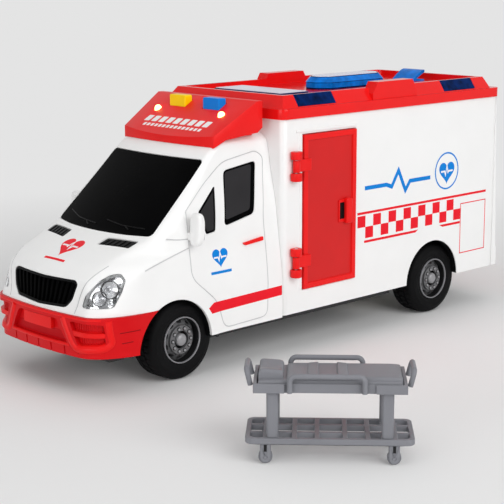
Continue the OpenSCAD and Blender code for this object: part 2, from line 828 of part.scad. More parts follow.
module cap_form(inset) {
  drop = inset > 0 ? overrun : 0;
  rise = inset > 0 ? 0 : cap_foot_rise;
  intersection() {
    along_y(-cap_w, cap_w)
      polygon([[cap_turn_x, cap_foot_z - drop + rise * 0.7],
        [cap_rear_x + inset, cap_foot_z - drop + rise],
        [cap_rear_x + inset, cap_top_z - inset],
        [cap_slope_x - inset * cap_pitch / 2, cap_top_z - inset],
        [cap_brow_x - inset, cap_lip_z - inset * cap_pitch],
        [cap_brow_x - inset, cap_foot_z - drop]]);
    translate([0, 0, cap_foot_z - overrun])
      linear_extrude(cap_top_z - cap_foot_z + overrun * 2)
        polygon([[cab_rear_x, -cap_w / 2 + inset], [cap_slope_x, -cap_w / 2 + inset],
          [cap_brow_x - cap_bow, -cap_front_w / 2 + inset], [cap_brow_x, -cap_front_w / 4],
          [cap_brow_x, cap_front_w / 4], [cap_brow_x - cap_bow, cap_front_w / 2 - inset],
          [cap_slope_x, cap_w / 2 - inset], [cab_rear_x, cap_w / 2 - inset]]);
    along_x(cab_rear_x - overrun, cap_brow_x + overrun)
      polygon([[-cap_foot_w / 2 + inset, cap_foot_z - overrun],
        [cap_foot_w / 2 - inset, cap_foot_z - overrun],
        [cap_w / 2 - inset, cap_top_z], [-cap_w / 2 + inset, cap_top_z]]);
  }
}

module button_block(y, gap, foot, top) {
  translate([button_front_x - button_l - gap, y - button_w / 2 - gap, foot])
    cube([button_l + 2 * gap, button_w + 2 * gap, top - foot]);
}

module roof_cap() {
  color("red")
    difference() {
      cap_form(0);
      cap_form(cap_wall);
      cab_form(-set_gap, levels_between(0.8, 1));
      for (y = [-button_y, button_y])
        button_block(y, button_gap, button_foot_z + button_flange_t, cap_top_z + overrun);
      for (y = [-lamp_dome_y, lamp_dome_y])
        translate([lamp_dome_x, y, cap_foot_z])
          cylinder(r = lamp_dome_r + set_gap, h = cap_top_z - cap_foot_z);
    }
}

module press_button(y) {
  button_block(y, 0, button_foot_z, button_top_z);
  button_block(y, button_flange_w, button_foot_z, button_foot_z + button_flange_t);
}

module yellow_button() {
  color("gold")
    press_button(-button_y);
}

module blue_button() {
  color("dodgerblue")
    press_button(button_y);
}

module button_board() {
  color("green") {
    translate([button_front_x - button_l - 2 * button_flange_w, -button_y - button_w / 2, board_z])
      cube([button_l + 4 * button_flange_w, 2 * button_y + button_w, board_t]);
    for (y = [-button_y, button_y])
      translate([button_front_x - button_l / 2 - switch_w / 2, y - switch_w / 2, board_z + board_t])
        cube([switch_w, switch_w, switch_h]);
  }
}

module warning_lamps() {
  color("orange")
    for (y = [-lamp_dome_y, lamp_dome_y])
      translate([lamp_dome_x, y, lamp_dome_z - cap_wall * 2]) {
        cylinder(r = lamp_dome_r, h = cap_wall * 2);
        translate([0, 0, cap_wall * 2])
          sphere(r = lamp_dome_r);
      }
}

module door_mirrors() {
  color("white")
    both_sides()
      difference() {
        union() {
          translate([mirror_x, mirror_y, mirror_z])
            along_x(-mirror_t / 2, mirror_t / 2)
              rounded_rect(mirror_w, mirror_h, mirror_w * 0.4);
          translate([mirror_x - mirror_t / 4, mirror_side_y - cab_wall, mirror_z - mirror_h * 0.36])
            cube([mirror_t / 2, mirror_y - mirror_side_y + cab_wall, mirror_h * 0.25]);
        }
        cab_form(-set_gap, levels_between(0.38, 0.75));
      }
}

// Box pieces

module box_prism(inset, from, to) {
  translate([box_mid_x, 0, from])
    linear_extrude(to - from)
      rounded_rect(box_l - 2 * inset, box_w - 2 * inset, box_edge_r - inset * 0.5);
}

module side_doorway(gap) {
  translate([side_door_rear_x - gap, box_half_w - box_wall * 2, side_door_z - gap])
    cube([side_door_w + 2 * gap, box_wall * 3, side_door_h + 2 * gap]);
}

module rear_doorway(gap) {
  translate([box_rear_x - box_wall, -rear_doorway_w / 2 - gap, rear_doorway_z - gap])
    cube([box_wall * 3, rear_doorway_w + 2 * gap, rear_doorway_h + 2 * gap]);
}

module frame_ring(l, h, w) {
  difference() {
    square([l + 2 * w, h + 2 * w], center = true);
    square([l - 2 * w, h - 2 * w], center = true);
  }
}

module rear_hinge_rods(r, heights) {
  for (y = [-rear_hinge_y, rear_hinge_y], z = rear_hinge_zs, s = heights)
    translate([rear_hinge_x, y, z + s[0]])
      cylinder(r = r, h = s[1] - s[0]);
}

rear_collar_spans = [[-rear_knuckle_h / 2 - pass_gap - rear_collar_h, -rear_knuckle_h / 2 - pass_gap],
  [rear_knuckle_h / 2 + pass_gap, rear_knuckle_h / 2 + pass_gap + rear_collar_h]];

module box_shell() {
  color("white")
    difference() {
      union() {
        difference() {
          box_prism(0, box_foot_z, box_top_z);
          box_prism(box_wall, box_foot_z - overrun, box_top_z + overrun);
          side_doorway(door_gap);
          rear_doorway(0);
          wheel_arch(rear_arch_x, rear_arch_z);
        }
        translate([side_door_mid_x, 0, side_door_mid_z])
          along_y(door_inner_y - stop_t, door_inner_y)
            frame_ring(side_door_w, side_door_h, stop_w);
        translate([0, 0, rear_doorway_z + rear_doorway_h / 2])
          along_x(rear_door_inner_x, rear_door_inner_x + stop_t)
            frame_ring(rear_doorway_w, rear_doorway_h, stop_w);
        rear_hinge_rods(knuckle_r, rear_collar_spans);
        for (y = [-rear_hinge_y, rear_hinge_y], z = rear_hinge_zs, s = rear_collar_spans)
          translate([rear_hinge_x, y - knuckle_r * 0.7, z + s[0]])
            cube([box_rear_x - rear_hinge_x + box_wall / 2, knuckle_r * 1.4, s[1] - s[0]]);
        rear_step();
      }
      rear_hinge_rods(pin_r + run_gap / 2, [[-rear_doorway_h / 8, rear_doorway_h / 8]]);
      box_prism(box_wall, box_foot_z - overrun, floor_z + set_gap);
    }
}

// The step across the back and the posts that taper up from it beside the doors
module rear_step() {
  translate([box_rear_x - step_l, -box_half_w, box_foot_z])
    cube([step_l + box_wall / 2, box_w, floor_z - box_foot_z]);
  both_sides()
    along_y(box_half_w - post_w, box_half_w)
      polygon([[box_rear_x - post_l, floor_z - weld], [box_rear_x - post_l, rear_doorway_z],
        [box_rear_x + box_wall / 2, box_top_z], [box_rear_x + box_wall / 2, floor_z - weld]]);
}

module box_floor() {
  boss_h = floor_foot_z - chassis_top_z - set_gap;
  color("gainsboro")
    difference() {
      union() {
        difference() {
          box_prism(box_wall + set_gap, floor_foot_z, floor_z);
          rear_wells(0, -overrun);
        }
        difference() {
          rear_wells(0, 0);
          rear_wells(well_t, -overrun);
        }
        for (x = screw_xs)
          both_sides()
            translate([x, screw_y, chassis_top_z + set_gap])
              cylinder(r = boss_r, h = boss_h + floor_t / 2);
      }
      for (x = screw_xs)
        both_sides()
          translate([x, screw_y, chassis_top_z - overrun])
            cylinder(r = screw_r + set_gap, h = boss_h + overrun - floor_t / 2);
    }
}

// The raised covers over the rear wheels, inset by a wall and lowered at the foot
module rear_wells(inset, drop) {
  both_sides()
    translate([well_rear_x + inset, box_half_w - box_wall - set_gap - well_w + inset,
      floor_foot_z + drop])
      cube([well_l - 2 * inset, well_w - inset + (drop < 0 ? overrun : 0),
        well_top_z - floor_foot_z - inset - drop]);
}

module curb_form(inset) {
  intersection() {
    along_x(box_rear_x - overrun, box_front_x + overrun)
      polygon([[-box_half_w + curb_foot_inset + inset, flange_top_z - overrun],
        [box_half_w - curb_foot_inset - inset, flange_top_z - overrun],
        [box_half_w - curb_foot_inset - curb_lean - inset, curb_top_z],
        [-box_half_w + curb_foot_inset + curb_lean + inset, curb_top_z]]);
    along_y(-box_w, box_w)
      polygon([[box_rear_x + curb_rear_inset + inset, flange_top_z - overrun],
        [box_front_x - curb_foot_inset - inset, flange_top_z - overrun],
        [box_front_x - curb_foot_inset - curb_lean - inset, curb_top_z],
        [box_rear_x + curb_rear_inset + curb_rear_lean + inset, curb_top_z]]);
  }
}

module curb_lens_zones(gap) {
  for (x = [front_lens_x, rear_lens_x])
    translate([x - curb_lens_l / 2 - gap, -box_w, flange_top_z + curb_h * 0.08 - gap])
      cube([curb_lens_l + 2 * gap, box_w * 2, curb_h]);
}

module curb_blocks() {
  both_sides()
    along_y(box_half_w - curb_foot_inset - curb_block_w, box_half_w - curb_foot_inset)
      polygon([[curb_block_x - curb_block_l / 2, flange_top_z - overrun],
        [curb_block_x + curb_block_l / 2, flange_top_z - overrun],
        [curb_block_x + curb_block_l / 2, flange_top_z + curb_block_h * 0.35],
        [curb_block_x + curb_block_l / 2 - curb_block_h * 0.4, flange_top_z + curb_block_h],
        [curb_block_x - curb_block_l / 2 + curb_block_h * 0.4, flange_top_z + curb_block_h],
        [curb_block_x - curb_block_l / 2, flange_top_z + curb_block_h * 0.35]]);
}

module box_roof() {
  pocket_inset = curb_foot_inset + curb_lean + curb_rim_w;
  pocket_rear_x = box_rear_x + curb_rear_inset + curb_rear_lean + curb_rim_w;
  pocket_l = box_front_x - pocket_inset - pocket_rear_x;
  color("red")
    difference() {
      union() {
        translate([box_mid_x, 0, box_top_z])
          linear_extrude(flange_h)
            rounded_rect(roof_l, roof_w, box_edge_r + flange_proud);
        difference() {
          curb_form(0);
          difference() {
            curb_lens_zones(set_gap);
            curb_form(curb_lens_t + set_gap);
          }
        }
        curb_blocks();
      }
      translate([pocket_rear_x + pocket_l / 2, 0, deck_z])
        linear_extrude(curb_block_h)
          rounded_rect(pocket_l, box_w - 2 * pocket_inset, box_edge_r);
      translate([pocket_rear_x + pocket_l / 2, 0, box_top_z - overrun])
        linear_extrude(deck_z - deck_t - box_top_z + overrun)
          rounded_rect(pocket_l, box_w - 2 * pocket_inset, box_edge_r);
    }
}

module curb_lenses() {
  color("navy")
    intersection() {
      difference() {
        curb_form(0);
        curb_form(curb_lens_t);
      }
      curb_lens_zones(0);
    }
}

// A block that narrows to a flat top by a bevel on all four sides
module bevelled_block(l, w, h, bevel, bevel_h) {
  intersection() {
    along_x(-l, l)
      polygon([[-w / 2, 0], [w / 2, 0], [w / 2, h - bevel_h], [w / 2 - bevel, h],
        [bevel - w / 2, h], [-w / 2, h - bevel_h]]);
    along_y(-w, w)
      polygon([[-l / 2, 0], [l / 2, 0], [l / 2, h - bevel_h], [l / 2 - bevel, h],
        [bevel - l / 2, h], [-l / 2, h - bevel_h]]);
  }
}

module roof_light_bar() {
  color("blue")
    translate([light_bar_x, 0, deck_z])
      intersection() {
        bevelled_block(light_bar_l, light_bar_w, light_bar_h, light_bar_h * 0.6, light_bar_h * 0.45);
        linear_extrude(light_bar_h)
          polygon([for (q = [[1, 1], [-1, 1], [-1, -1], [1, -1]], p = q[0] * q[1] > 0 ? [0, 1] : [1, 0])
            [q[0] * (light_bar_l / 2 - p * light_bar_chamfer),
              q[1] * (light_bar_w / 2 - (1 - p) * light_bar_chamfer)]]);
      }
}

module roof_front_panel() {
  color("blue")
    translate([front_panel_x, 0, deck_z])
      bevelled_block(front_panel_l, front_panel_w, front_panel_h, front_panel_h * 0.15,
        front_panel_h * deck_bevel_share);
}

module roof_visor() {
  steps = 8;
  color("blue")
    translate([visor_x, 0, deck_z])
      along_y(-visor_w / 2, visor_w / 2)
        polygon(concat([[visor_l / 2, 0]],
          [for (i = [1:steps]) let (a = 90 * i / steps)
            [visor_l * (0.5 - sin(a / 2) * sqrt(2)), visor_h * sin(a)]],
          [[-visor_l / 2, visor_h - visor_t], [visor_l * 0.1, visor_t], [-visor_l / 2, visor_t / 2],
            [-visor_l / 2, 0]]));
}

// Doors

module bordered_panel(l, h) {
  linear_extrude(door_t)
    square([l, h], center = true);
  linear_extrude(door_t + door_border_proud)
    difference() {
      square([l, h], center = true);
      square([l - 2 * door_border_w, h - 2 * door_border_w], center = true);
    }
}

module side_door() {
  knuckle_h = hinge_h - 2 * collar_h - 2 * pass_gap;
  color("firebrick")
    difference() {
      union() {
        translate([side_door_mid_x, door_inner_y, side_door_mid_z])
          rotate([-90, 0, 0])
            bordered_panel(side_door_w, side_door_h);
        for (z = hinge_zs) {
          translate([hinge_x, hinge_y, z - knuckle_h / 2])
            cylinder(r = knuckle_r, h = knuckle_h);
          translate([side_door_front_x - strap_l, hinge_y - strap_t, z - knuckle_h / 2])
            cube([hinge_x - side_door_front_x + strap_l, strap_t, knuckle_h]);
          translate([side_door_front_x - strap_l, door_outer_y - set_gap, z - knuckle_h / 2])
            cube([strap_l, hinge_y - door_outer_y, knuckle_h]);
        }
      }
      for (z = hinge_zs)
        translate([hinge_x, hinge_y, z - hinge_h])
          cylinder(r = pin_r + run_gap, h = 2 * hinge_h);
      translate([handle_x + handle_w / 2 - grip_slot_w / 2, door_inner_y - overrun,
        handle_z - grip_slot_h / 2])
        cube([grip_slot_w, door_t * 2, grip_slot_h]);
    }
}

module side_door_handle() {
  color("red")
    translate([handle_x, door_outer_y + set_gap, handle_z])
      difference() {
        rotate([-90, 0, 0])
          bevelled_block(handle_w, handle_h, handle_t, handle_t * 0.3, handle_t * 0.4);
        translate([handle_w / 2 - grip_slot_w / 2, -overrun, -grip_slot_h / 2])
          cube([handle_w, handle_t * 0.6 + overrun, grip_slot_h]);
      }
}

module side_hinge_brackets() {
  wall_y = box_half_w + set_gap / 2;
  color("red")
    difference() {
      for (z = hinge_zs)
        intersection() {
          union()
            for (s = [z - hinge_h / 2, z + hinge_h / 2 - collar_h])
              translate([hinge_x, hinge_y, s])
                cylinder(r = hinge_collar_r, h = collar_h);
          translate([hinge_x - hinge_h, wall_y, z - hinge_h])
            cube([2 * hinge_h, hinge_h, 2 * hinge_h]);
        }
      for (z = hinge_zs)
        translate([hinge_x, hinge_y, z - hinge_h])
          cylinder(r = pin_r + run_gap / 2, h = 2 * hinge_h);
    }
}

module side_hinge_pins() {
  color("silver")
    for (z = hinge_zs)
      translate([hinge_x, hinge_y, z - hinge_h / 2])
        cylinder(r = pin_r, h = hinge_h);
}

module rear_door(side) {
  mid_y = side * (door_gap / 2 + rear_door_w / 2);
  edge_y = door_gap / 2 + rear_door_w;
  color("firebrick")
    difference() {
      union() {
        translate([rear_door_inner_x, mid_y, rear_doorway_z + rear_doorway_h / 2])
          rotate([0, -90, 0])
            bordered_panel(rear_door_h, rear_door_w);
        for (z = rear_hinge_zs) {
          translate([rear_hinge_x, side * rear_hinge_y, z - rear_knuckle_h / 2])
            cylinder(r = knuckle_r, h = rear_knuckle_h);
          translate([rear_hinge_x - strap_t / 2, min(side * (edge_y - rear_strap_l), side * rear_hinge_y),
            z - rear_knuckle_h / 2])
            cube([strap_t, rear_hinge_y - edge_y + rear_strap_l, rear_knuckle_h]);
          translate([rear_hinge_x, min(side * (edge_y - rear_strap_l), side * edge_y),
            z - rear_knuckle_h / 2])
            cube([rear_door_outer_x - rear_hinge_x + set_gap, rear_strap_l, rear_knuckle_h]);
        }
        translate([rear_door_outer_x, side * rear_door_w * 0.16, rear_doorway_z + rear_doorway_h * 0.42])
          rotate([0, -90, 0])
            bevelled_block(handle_h, handle_w * 0.6, handle_t, handle_t * 0.3, handle_t * 0.4);
      }
      for (z = rear_hinge_zs)
        translate([rear_hinge_x, side * rear_hinge_y, z - rear_knuckle_h])
          cylinder(r = pin_r + run_gap, h = 2 * rear_knuckle_h);
    }
}

module rear_door_left() {
  rear_door(1);
}

module rear_door_right() {
  rear_door(-1);
}

module rear_hinge_pins() {
  pin_half_h = rear_knuckle_h / 2 + pass_gap + rear_collar_h;
  color("silver")
    rear_hinge_rods(pin_r, [[-pin_half_h, pin_half_h]]);
}

module tail_lamps() {
  color("crimson")
    both_sides()
      translate([box_rear_x - step_l - set_gap / 2, box_half_w * 0.72, (box_foot_z + floor_z) / 2])
        rotate([0, -90, 0])
          bevelled_block(tail_lamp_h, tail_lamp_l, tail_lamp_t, tail_lamp_t * 0.5, tail_lamp_t * 0.5);
}

// Chassis and what it carries

module bearing_block(x, y) {
  translate([x - bearing_l / 2, y - bearing_t / 2, chassis_top_z - weld])
    cube([bearing_l, bearing_t, axle_z + bearing_rise - chassis_top_z + weld]);
}

module chassis() {
  color("dimgray")
    difference() {
      union() {
        difference() {
          translate([chassis_rear_x, -chassis_w / 2, chassis_z])
            cube([chassis_front_x - chassis_rear_x, chassis_w, chassis_t]);
          for (notch = [[front_axle_x, wheel_notch_l / 2], [rear_axle_x, box_l]])
            both_sides()
              translate([notch[0] - notch[1], notch_half_w, chassis_z - overrun])
                cube([notch[1] + wheel_notch_l / 2 + arch_ahead, chassis_w, chassis_t + overrun * 2]);
        }
        for (x = [front_axle_x, rear_axle_x], y = [-bearing_y, bearing_y])
          bearing_block(x, y);
        translate([bay_x, 0, chassis_top_z - weld])
          linear_extrude(bay_top_z - chassis_top_z + weld)
            square([bay_l + 2 * bay_wall, bay_w + 2 * bay_wall], center = true);
        both_sides() {
          translate([cab_tab_x, chassis_w / 2 - cab_tab_h, chassis_top_z - weld])
            cube([cab_tab_l, cab_tab_h, cab_tab_z + cab_tab_h - chassis_top_z + weld]);
          translate([cab_tab_x, chassis_w / 2 - cab_tab_h, cab_tab_z])
            cube([cab_tab_l, cab_half_w * 0.995 - cab_wall - set_gap * 3 - chassis_w / 2 + cab_tab_h,
              cab_tab_h]);
        }
        front_liners();
        speaker_ring();
        for (x = [-1, 1], y = [-1, 1])
          translate([pcb_x + x * board_l * 0.38, y * board_w * 0.38, chassis_top_z - weld])
            cylinder(r = pcb_post_r, h = pcb_z - chassis_top_z + weld);
      }
      for (x = [front_axle_x, rear_axle_x])
        rod_y(x, axle_z, axle_r + run_gap, -chassis_w, chassis_w);
      translate([bay_x, 0, chassis_z - overrun])
        linear_extrude(bay_top_z - chassis_z + overrun * 2)
          square([bay_l, bay_w], center = true);
      translate([bay_x, 0, chassis_z - overrun])
        linear_extrude(cover_t + overrun)
          square([bay_l + 2 * cover_lap, bay_w], center = true);
      translate([case_rear_x - set_gap, -case_half_w - set_gap, chassis_z - overrun])
        cube([case_front_x - case_rear_x + 2 * set_gap, 2 * case_half_w + 2 * set_gap, chassis_t * 3]);
      translate([switch_x - switch_slot_l / 2, switch_y - switch_knob_w / 2 - pass_gap, chassis_z - overrun])
        cube([switch_slot_l, switch_knob_w + 2 * pass_gap, chassis_t + 2 * overrun]);
      for (x = screw_xs)
        both_sides()
          translate([x, screw_y, chassis_z - overrun]) {
            cylinder(r = screw_r + set_gap, h = chassis_t + 2 * overrun);
            cylinder(r = screw_head_r + set_gap, h = screw_head_t + overrun);
          }
      speaker_slot_cuts();
    }
}

// Half hoops over the front wheels, standing on the chassis
module front_liners() {
  both_sides()
    intersection() {
      difference() {
        rod_y(liner_x, arch_z, liner_r + liner_t, notch_half_w - liner_t, wheel_face_y);
        rod_y(liner_x, arch_z, liner_r, notch_half_w, wheel_face_y + overrun);
        rod_y(front_axle_x, axle_z, axle_r * 2, 0, chassis_w);
      }
      translate([liner_x - liner_r * 2, 0, chassis_top_z - weld])
        cube([liner_r * 4, cab_w, liner_r * 2]);
      cab_form(bumper_t, concat([(chassis_top_z - weld - cab_sill_z) / cab_h], levels_between(0, 0.6)));
    }
}

module speaker_ring() {
  translate([speaker_x, speaker_y, chassis_top_z - weld])
    difference() {
      cylinder(r = speaker_r + set_gap + liner_t, h = speaker_h / 2);
      translate([0, 0, -overrun])
        cylinder(r = speaker_r + set_gap, h = speaker_h + overrun * 2);
    }
}

module speaker_slot_cuts() {
  for (i = [0:speaker_slots - 1])
    translate([speaker_x + (i - (speaker_slots - 1) / 2) * speaker_slot_w * 2.4 - speaker_slot_w / 2,
      speaker_y - speaker_r * 0.6, chassis_z - overrun])
      cube([speaker_slot_w, speaker_r * 1.2, chassis_t + 2 * overrun]);
}

module battery_cover() {
  color("dimgray")
    translate([bay_x, 0, chassis_z])
      linear_extrude(cover_t - set_gap)
        square([bay_l + 2 * cover_lap - 2 * set_gap, bay_w - 2 * set_gap], center = true);
}

module battery_cells() {
  tip_r = cell_r * 0.35;
  tip_l = 0.8;
  color("goldenrod")
    for (i = [0:cell_count - 1]) {
      x = bay_x + (i - (cell_count - 1) / 2) * cell_pitch;
      rod_y(x, cell_z, cell_r, -cell_l / 2, cell_l / 2 - tip_l);
      rod_y(x, cell_z, tip_r, cell_l / 2 - tip_l, cell_l / 2);
    }
}

module power_switch() {
  color("black") {
    translate([switch_x - switch_l / 2 - switch_travel / 2, switch_y - switch_knob_w / 2,
      chassis_z - switch_drop])
      cube([switch_l, switch_knob_w, chassis_t + switch_drop + set_gap]);
    translate([switch_x - switch_travel / 2 - switch_flange_l / 2,
      switch_y - switch_knob_w / 2 - switch_flange, chassis_top_z + set_gap])
      cube([switch_flange_l, switch_knob_w + 2 * switch_flange, switch_flange_t]);
  }
}

module chassis_screws() {
  color("silver")
    for (x = screw_xs)
      both_sides()
        translate([x, screw_y, chassis_z]) {
          cylinder(r = screw_head_r, h = screw_head_t);
          cylinder(r = screw_r, h = floor_foot_z - floor_t - chassis_z);
        }
}

module speaker() {
  color("darkslategray")
    translate([speaker_x, speaker_y, chassis_top_z + set_gap])
      difference() {
        union() {
          cylinder(r = speaker_r, h = speaker_h * 0.3);
          cylinder(r1 = speaker_r * 0.85, r2 = speaker_r * 0.5, h = speaker_h * 0.8);
          cylinder(r = speaker_r * 0.5, h = speaker_h);
        }
        translate([0, 0, -overrun])
          cylinder(r1 = speaker_r * speaker_cone_share, r2 = speaker_r * 0.3, h = speaker_h * 0.4 + overrun);
      }
}

module sound_board() {
  color("green") {
    translate([pcb_x - board_l / 2, -board_w / 2, pcb_z])
      cube([board_l, board_w, pcb_t]);
    translate([pcb_x - chip_l / 2, -chip_l / 2, pcb_z + pcb_t])
      cube([chip_l, chip_l, chip_t]);
  }
}

// Axles, gears and wheels

module axle(x) {
  color("silver")
    rod_y(x, axle_z, axle_r, -axle_half_l, axle_half_l);
}

module front_axle() {
  axle(front_axle_x);
}

module rear_axle() {
  axle(rear_axle_x);
}

function roll(r, base_r) = let (a = acos(base_r / r)) tan(a) * 180 / PI - a;

module gear_outline(teeth) {
  pitch_r = gear_module * teeth / 2;
  base_r = pitch_r * cos(pressure_angle);
  tip_r = pitch_r + gear_addendum;
  root_r = pitch_r - gear_dedendum;
  start_r = max(base_r, root_r);
  half_tooth = 90 / teeth - gear_backlash / 4 / pitch_r * 180 / PI + roll(pitch_r, base_r);
  flank = [for (i = [0:flank_steps]) let (r = start_r + (tip_r - start_r) * i / flank_steps)
    [r, half_tooth - roll(r, base_r)]];
  foot = half_tooth - roll(start_r, base_r);
  polygon([for (t = [0:teeth - 1]) let (mid = 360 * t / teeth)
    each concat([[root_r * cos(mid - foot), root_r * sin(mid - foot)]],
      [for (p = flank) [p[0] * cos(mid - p[1]), p[0] * sin(mid - p[1])]],
      [for (i = [flank_steps:-1:0]) let (p = flank[i])
        [p[0] * cos(mid + p[1]), p[0] * sin(mid + p[1])]],
      [[root_r * cos(mid + foot), root_r * sin(mid + foot)]])]);
}

module gear_at(x, teeth, turn, from, to) {
  translate([x, 0, axle_z])
    along_y(from, to)
      rotate(turn)
        gear_outline(teeth);
}

module drive_gear() {
  color("ivory")
    difference() {
      gear_at(rear_axle_x, drive_teeth, 0, -drive_gear_t / 2, drive_gear_t / 2);
      rod_y(rear_axle_x, axle_z, axle_r + run_gap / 2, -drive_gear_t, drive_gear_t);
    }
}

module idler_gear() {
  color("ivory") {
    gear_at(idler_x, pinion_teeth, 180 / pinion_teeth, -pinion_t / 2, pinion_t / 2);
    gear_at(idler_x, idler_teeth, 0, idler_gear_y, idler_gear_y + idler_gear_t);
    rod_y(idler_x, axle_z, journal_r, -case_half_w, case_half_w);
    rod_y(idler_x, axle_z, journal_r * 1.7, pinion_t / 2, idler_gear_y);
  }
}

module flywheel() {
  color("silver") {
    rod_y(flywheel_x, axle_z, flywheel_r, flywheel_y - flywheel_t, flywheel_y);
    gear_at(flywheel_x, pinion_teeth, 180 / pinion_teeth, pinion_t / 2, idler_gear_y + idler_gear_t);
    rod_y(flywheel_x, axle_z, journal_r, -case_half_w, case_half_w);
  }
}

module gearbox_case() {
  color("lightgray")
    difference() {
      union() {
        translate([case_rear_x, -case_half_w, case_foot_z])
          cube([case_front_x - case_rear_x, 2 * case_half_w, case_top_z - case_foot_z]);
        translate([case_rear_x - case_flange_w, -case_half_w - case_flange_w, chassis_top_z + set_gap])
          cube([case_front_x - case_rear_x + 2 * case_flange_w, 2 * (case_half_w + case_flange_w),
            case_flange_t]);
      }
      rod_y(rear_axle_x, axle_z, axle_r * 2, case_half_w, chassis_w);
      rod_y(rear_axle_x, axle_z, axle_r * 2, -chassis_w, -case_half_w);
      translate([case_rear_x + case_wall, -case_inner_half_w, case_foot_z + case_wall])
        cube([case_front_x - case_rear_x - 2 * case_wall, 2 * case_inner_half_w, case_top_z]);
      rod_y(rear_axle_x, axle_z, axle_r + run_gap, -chassis_w, chassis_w);
      for (x = [idler_x, flywheel_x])
        rod_y(x, axle_z, journal_r + run_gap, -chassis_w, chassis_w);
    }
}

// A tyre and a rim, drawn with the outer face at zero and turned to the side that they are on
module wheel_place(x, side) {
  translate([x, side * wheel_face_y, axle_z])
    rotate([side * 90, 0, 0])
      children();
}

module tyre(x, side) {
  bore_r = rim_r + set_gap;
  color("black")
    wheel_place(x, side)
      rotate_extrude()
        difference() {
          translate([bore_r, 0])
            square([wheel_r - bore_r, tyre_w]);
          for (y = [0, tyre_w])
            translate([wheel_r, y])
              rotate(45)
                square(tyre_shoulder_r, center = true);
        }
}

module rim(x, side) {
  dish = rim_dish_depth;
  back = tyre_w - rim_lip_w;
  color("silver")
    wheel_place(x, side)
      difference() {
        rotate_extrude()
          polygon([[0, dish * 0.1], [rim_cap_r, dish * 0.1], [rim_cap_r * 1.1, dish * 0.45],
            [rim_hub_r, dish * 0.45], [rim_hub_r, dish], [rim_r - rim_lip_w * 2, dish * 1.4],
            [rim_r - rim_lip_w, 0], [rim_r, 0], [rim_r, back], [rim_r - rim_lip_w, back],
            [rim_r - rim_lip_w * 2, dish * 2.2], [rim_hub_r * 0.8, dish * 2.2],
            [rim_hub_r * 0.8, rim_hub_bore_l * 1.6], [0, rim_hub_bore_l * 1.6]]);
        translate([0, 0, wheel_face_y - axle_half_l - set_gap])
          cylinder(r = axle_r + run_gap / 2, h = tyre_w);
        for (i = [0:rim_hole_count - 1])
          rotate(360 * i / rim_hole_count)
            translate([rim_r * rim_hole_circle_share, 0, 0])
              cylinder(r = rim_hole_r, h = tyre_w);
      }
}

module front_left_tyre() {
  tyre(front_axle_x, 1);
}

module front_right_tyre() {
  tyre(front_axle_x, -1);
}

module rear_left_tyre() {
  tyre(rear_axle_x, 1);
}

module rear_right_tyre() {
  tyre(rear_axle_x, -1);
}

module front_left_rim() {
  rim(front_axle_x, 1);
}

module front_right_rim() {
  rim(front_axle_x, -1);
}

module rear_left_rim() {
  rim(rear_axle_x, 1);
}

module rear_right_rim() {
  rim(rear_axle_x, -1);
}

// Stretcher

module stretcher_place() {
  translate([stretcher_x, stretcher_y, 0])
    rotate([0, 0, stretcher_turn])
      children();
}

module stretcher_tray() {
  pocket_l = tray_l - 2 * tray_rim_w;
  color("gray")
    stretcher_place()
      difference() {
        translate([0, 0, tray_z])
          linear_extrude(tray_t)
            square([tray_l, tray_w], center = true);
        translate([0, 0, tray_top_z - tray_pocket_depth])
          linear_extrude(tray_t)
            square([pocket_l, tray_w - 2 * tray_rim_w], center = true);
        for (side = [-1, 1])
          translate([0, side * tray_w / 2, tray_z - overrun])
            linear_extrude(tray_t + overrun * 2)
              square([rail_l + rail_r * 4, tray_step * 2], center = true);
      }
}

module stretcher_mattress() {
  foot_z = tray_top_z - tray_pocket_depth + set_gap;
  color("gray")
    stretcher_place()
      translate([0, 0, foot_z]) {
        bevelled_block(slab_l, slab_w, slab_t + tray_pocket_depth, slab_t, slab_t);
        translate([mattress_x, 0, 0])
          bevelled_block(mattress_l, mattress_w, mattress_t + tray_pocket_depth, mattress_bevel,
            mattress_bevel);
        translate([mattress_x, 0, 0])
          bevelled_block(mattress_l * 0.3, mattress_w * 0.5, mattress_t * 1.2 + tray_pocket_depth,
            mattress_bevel, mattress_bevel);
        translate([pillow_x, 0, 0])
          bevelled_block(pillow_l, mattress_w * 0.8, pillow_h + tray_pocket_depth, pillow_h * 0.3,
            pillow_h * 0.5);
      }
}

// A hoop: two legs that rise along +Z and a bar along X between them, with round bends
module hoop(l, h, r, bend) {
  for (side = [-1, 1]) {
    translate([side * (l / 2 - r), 0, 0])
      cylinder(r = r, h = h - bend - r, $fn = 24);
    translate([side * (l / 2 - r - bend), 0, h - bend - r])
      rotate([90, 0, side > 0 ? 0 : 180])
        rotate_extrude(angle = 90, $fn = 24)
          translate([bend, 0])
            circle(r = r, $fn = 24);
  }
  translate([-l / 2 + r + bend, 0, h - r])
    rotate([0, 90, 0])
      cylinder(r = r, h = l - 2 * r - 2 * bend, $fn = 24);
}

module stretcher_rails() {
  color("gray")
    stretcher_place() {
      for (side = [-1, 1])
        translate([rail_x, side * (tray_w / 2 - tray_step + set_gap + rail_r), rail_foot_z])
          hoop(rail_l, rail_top_z - rail_foot_z, rail_r, rail_bend_r);
      for (end = [-1, 1])
        translate([end * (tray_l / 2 + set_gap + rail_r), 0, handle_foot_z])
          rotate([0, end * handle_tilt, 0])
            rotate([0, 0, 90])
              hoop(handle_y * 2 + 2 * rail_r, handle_rise + rail_r, rail_r, rail_bend_r);
    }
}

module stretcher_legs() {
  color("gray")
    stretcher_place()
      for (x = [-leg_x, leg_x], y = [-leg_y, leg_y])
        translate([x, y, base_top_z + set_gap])
          linear_extrude(tray_z - base_top_z - 2 * set_gap)
            rounded_rect(leg_l, leg_w, leg_w * 0.25);
}

module caster_places() {
  for (x = [-1, 1], y = [-1, 1])
    translate([x * caster_pitch / 2, y * fork_y, 0])
      children();
}

